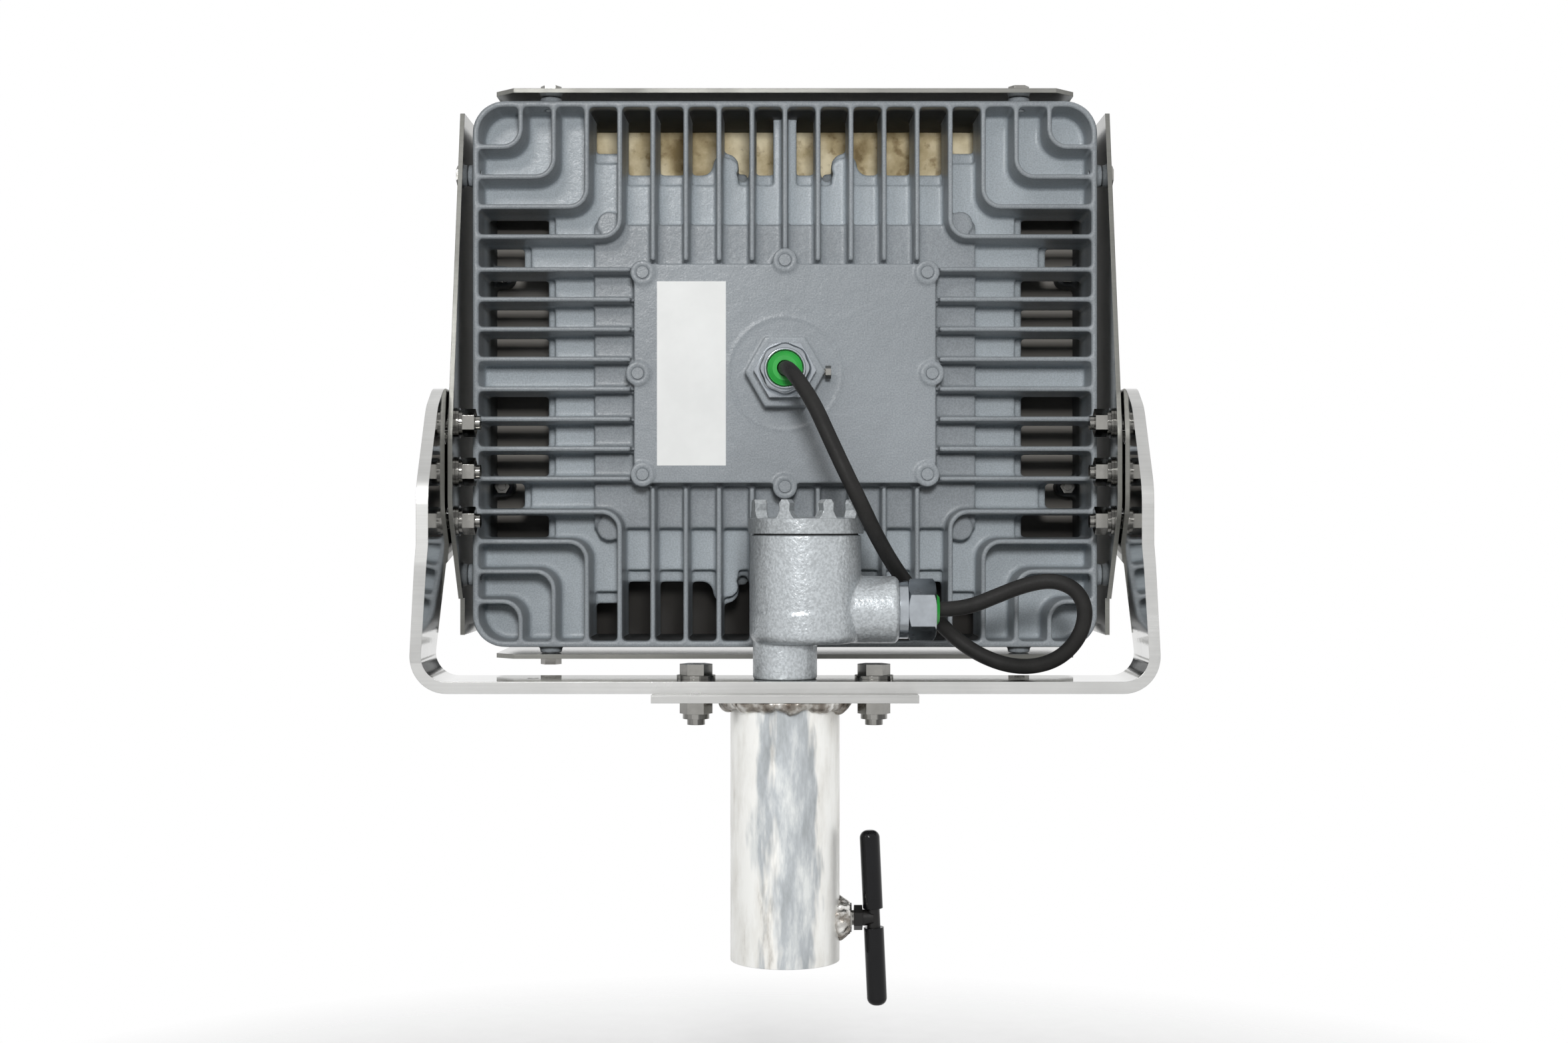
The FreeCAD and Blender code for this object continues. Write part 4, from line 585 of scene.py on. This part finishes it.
# Nut of the lamp's gland: soft lobes, a wide chamfer and a raised bright ring round the bushing;
# its profile gives radius and depth in millimetres
NUT_PROFILE = [
    (12.4, 4.0), (12.4, -0.6), (12.9, -1.1), (13.7, -1.1), (14.2, -0.6), (14.3, 0.5), (15.0, 0.7),
    (16.4, 1.3), (17.5, 2.6), (18.1, 4.4), (18.3, 6.0), (18.3, 15.5), (17.9, 16.0), (12.4, 16.0),
]
LOBES, LOBE_DEPTH, LOBES_FROM = 8, 0.35, 15.5


def gland_nut():
    """The nut's profile turned round the bushing, with lobes on its outer part."""
    low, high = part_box("head_gland_nut")
    middle = (low + high) / 2
    steps = 192
    rings = []
    for i in range(steps):
        turn = 2 * math.pi * i / steps
        out = Vector((math.cos(turn), 0, math.sin(turn)))
        ring = []
        for radius, depth in NUT_PROFILE:
            wave = LOBE_DEPTH * math.cos(LOBES * turn) - LOBE_DEPTH if radius > LOBES_FROM else 0.0
            centre = Vector((middle.x, low.y + depth / 1000, middle.z))
            ring.append(centre + out * ((radius + wave) / 1000))
        rings.append(ring)
    return loft("lamp_gland_nut", rings, False)


nut = add_mesh("lamp_gland_nut", gland_nut(), "gland_metal", "lamp_head")
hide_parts("head_gland_nut")


# Supply cord: a smooth spline that the route's points guide, then a round tube along it
CORD_ROUTE = [
    (0.0000, 0.0440, 0.3978), (0.0002, 0.0295, 0.3977), (0.0030, 0.0140, 0.3955),
    (0.0093, -0.0005, 0.3870), (0.0194, -0.0120, 0.3705), (0.0290, -0.0210, 0.3485),
    (0.0390, -0.0270, 0.3265), (0.0495, -0.0280, 0.3050), (0.0596, -0.0160, 0.2845),
    (0.0732, 0.0110, 0.2625), (0.0895, 0.0290, 0.2415), (0.1075, 0.0330, 0.2208),
    (0.1262, 0.0290, 0.2048), (0.1468, 0.0200, 0.1956), (0.1660, 0.0100, 0.1940),
    (0.1838, 0.0000, 0.2005), (0.1962, -0.0080, 0.2152), (0.2002, -0.0120, 0.2330),
    (0.1940, -0.0120, 0.2472), (0.1790, -0.0095, 0.2538), (0.1605, -0.0055, 0.2505),
    (0.1420, -0.0020, 0.2430), (0.1255, 0.0000, 0.2360), (0.1100, 0.0001, 0.2336),
    (0.0950, 0.0000, 0.2335),
]
CORD_RADIUS = 0.00515
CORD_SIDES = 24


def spline_points(route):
    """Points close together along the route's spline."""
    curve = bpy.data.curves.new("cord_line", "CURVE")
    curve.dimensions = "3D"
    spline = curve.splines.new("NURBS")
    spline.points.add(len(route) - 1)
    for point, place in zip(spline.points, route):
        point.co = (*place, 1)
    spline.order_u = 3
    spline.use_endpoint_u = True
    spline.resolution_u = 8
    holder = bpy.data.objects.new("cord_line", curve)
    scene.collection.objects.link(holder)
    mesh = modified_mesh(holder)
    points = [vertex.co.copy() for vertex in mesh.vertices]
    bpy.data.objects.remove(holder)
    bpy.data.curves.remove(curve)
    bpy.data.meshes.remove(mesh)
    return points


def tube_mesh(name, points, radius):
    """A round tube along points, its rings turned as little as they can be from one to the next."""
    up = Vector((1, 0, 0))
    rings = []
    for i, point in enumerate(points):
        ahead = points[min(i + 1, len(points) - 1)] - points[max(i - 1, 0)]
        ahead.normalize()
        across = (up - ahead * up.dot(ahead)).normalized()
        other = ahead.cross(across)
        up = across
        ring = []
        for k in range(CORD_SIDES):
            turn = 2 * math.pi * k / CORD_SIDES
            sideways = across * (radius * math.cos(turn))
            ring.append(point + sideways + other * (radius * math.sin(turn)))
        rings.append(ring)
    return loft(name, rings, True)


cord_line = spline_points(CORD_ROUTE)
cord = add_mesh("cord_tube", tube_mesh("cord_tube", cord_line, CORD_RADIUS), "cord_rubber", None)
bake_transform(cord)
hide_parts("supply_cord")


# Ground under the part, fading out to the white background
GROUND_LEVEL, GROUND_Y, GROUND_RADIUS = -0.22, 0.06, 0.95


def make_floor():
    """A pale disc that takes the shadow and lights nothing."""
    made = bmesh.new()
    bmesh.ops.create_circle(made, cap_ends=True, segments=96, radius=GROUND_RADIUS)
    mesh = bpy.data.meshes.new("floor")
    made.to_mesh(mesh)
    made.free()
    floor = bpy.data.objects.new("floor", mesh)
    floor.location = (0, GROUND_Y, GROUND_LEVEL)
    scene.collection.objects.link(floor)
    s = Shader("floor")
    grain = s.noise(30.0, 3.0)
    tone = s.ramp(grain, [(0.3, (0.90, 0.90, 0.90)), (0.7, (0.94, 0.94, 0.94))])
    s.link(tone, s.bsdf, "Base Color")
    s.set(Roughness=0.9)
    reach = s.add("VectorMath", operation="LENGTH")
    s.link((s.place, "Object"), reach, 0)
    fade = s.span((reach, "Value"), GROUND_RADIUS * 0.55, GROUND_RADIUS * 0.98, 0.0, 1.0)
    clear = s.add("BsdfTransparent")
    blend = s.add("MixShader")
    s.link(fade, blend, "Fac")
    s.link((s.bsdf, "BSDF"), blend, 1)
    s.link((clear, "BSDF"), blend, 2)
    s.link((blend, "Shader"), s.output, "Surface")
    mesh.materials.append(s.material)
    floor.visible_diffuse = False


make_floor()


# Background: white where it is seen, mirrored or looked through; for the rest a fill light, most of it
# from above the horizon
FILL_BELOW, FILL_ABOVE = 0.03, 0.22
HORIZON_FROM, HORIZON_TO = -0.1, 0.25
world = bpy.data.worlds.new("studio")
scene.world = world
world.use_nodes = True
tree = world.node_tree
tree.nodes.clear()
out = tree.nodes.new("ShaderNodeOutputWorld")
fill = tree.nodes.new("ShaderNodeBackground")
white = tree.nodes.new("ShaderNodeBackground")
white.inputs["Strength"].default_value = 1.0
for shade in (fill, white):
    shade.inputs["Color"].default_value = (1, 1, 1, 1)
sky = tree.nodes.new("ShaderNodeTexCoord")
parts = tree.nodes.new("ShaderNodeSeparateXYZ")
level = tree.nodes.new("ShaderNodeMapRange")
for socket, value in zip(RANGE_SOCKETS, (HORIZON_FROM, HORIZON_TO, FILL_BELOW, FILL_ABOVE)):
    level.inputs[socket].default_value = value
tree.links.new(sky.outputs["Generated"], parts.inputs[0])
tree.links.new(parts.outputs["Z"], level.inputs["Value"])
tree.links.new(level.outputs["Result"], fill.inputs["Strength"])
path = tree.nodes.new("ShaderNodeLightPath")
shown = path.outputs["Is Camera Ray"]
for ray in ("Is Glossy Ray", "Is Transmission Ray"):
    either = tree.nodes.new("ShaderNodeMath")
    either.operation = "MAXIMUM"
    tree.links.new(shown, either.inputs[0])
    tree.links.new(path.outputs[ray], either.inputs[1])
    shown = either.outputs[0]
blend = tree.nodes.new("ShaderNodeMixShader")
tree.links.new(shown, blend.inputs[0])
tree.links.new(fill.outputs[0], blend.inputs[1])
tree.links.new(white.outputs[0], blend.inputs[2])
tree.links.new(blend.outputs[0], out.inputs[0])


def area_light(name, place, aim, size, power, glint=False):
    """A soft lamp; only the glint lamp is mirrored by shiny surfaces."""
    lamp = bpy.data.lights.new(name, "AREA")
    lamp.shape = "RECTANGLE"
    lamp.size, lamp.size_y = size
    lamp.energy = power
    obj = bpy.data.objects.new(name, lamp)
    obj.location = place
    obj.rotation_euler = (Vector(aim) - Vector(place)).to_track_quat("-Z", "Y").to_euler()
    obj.visible_glossy = glint
    obj.visible_diffuse = not glint
    scene.collection.objects.link(obj)


area_light("near", (0.05, -1.6, 0.60), (0, 0.05, 0.38), (0.2, 0.2), 21)
area_light("key", (-0.75, -2.1, 1.25), (0, 0.05, 0.36), (0.8, 0.8), 4)
area_light("side", (1.7, -1.1, 0.9), (0, 0.05, 0.36), (0.9, 1.4), 2)
area_light("front", (0.3, 1.9, 1.2), (0, 0.1, 0.36), (1.6, 1.2), 20)
area_light("top", (0.0, 0.1, 2.4), (0, 0.1, 0.3), (1.4, 1.4), 10)
area_light("glint", (-0.45, -1.8, 1.1), (0, 0.05, 0.36), (0.35, 0.35), 15, glint=True)
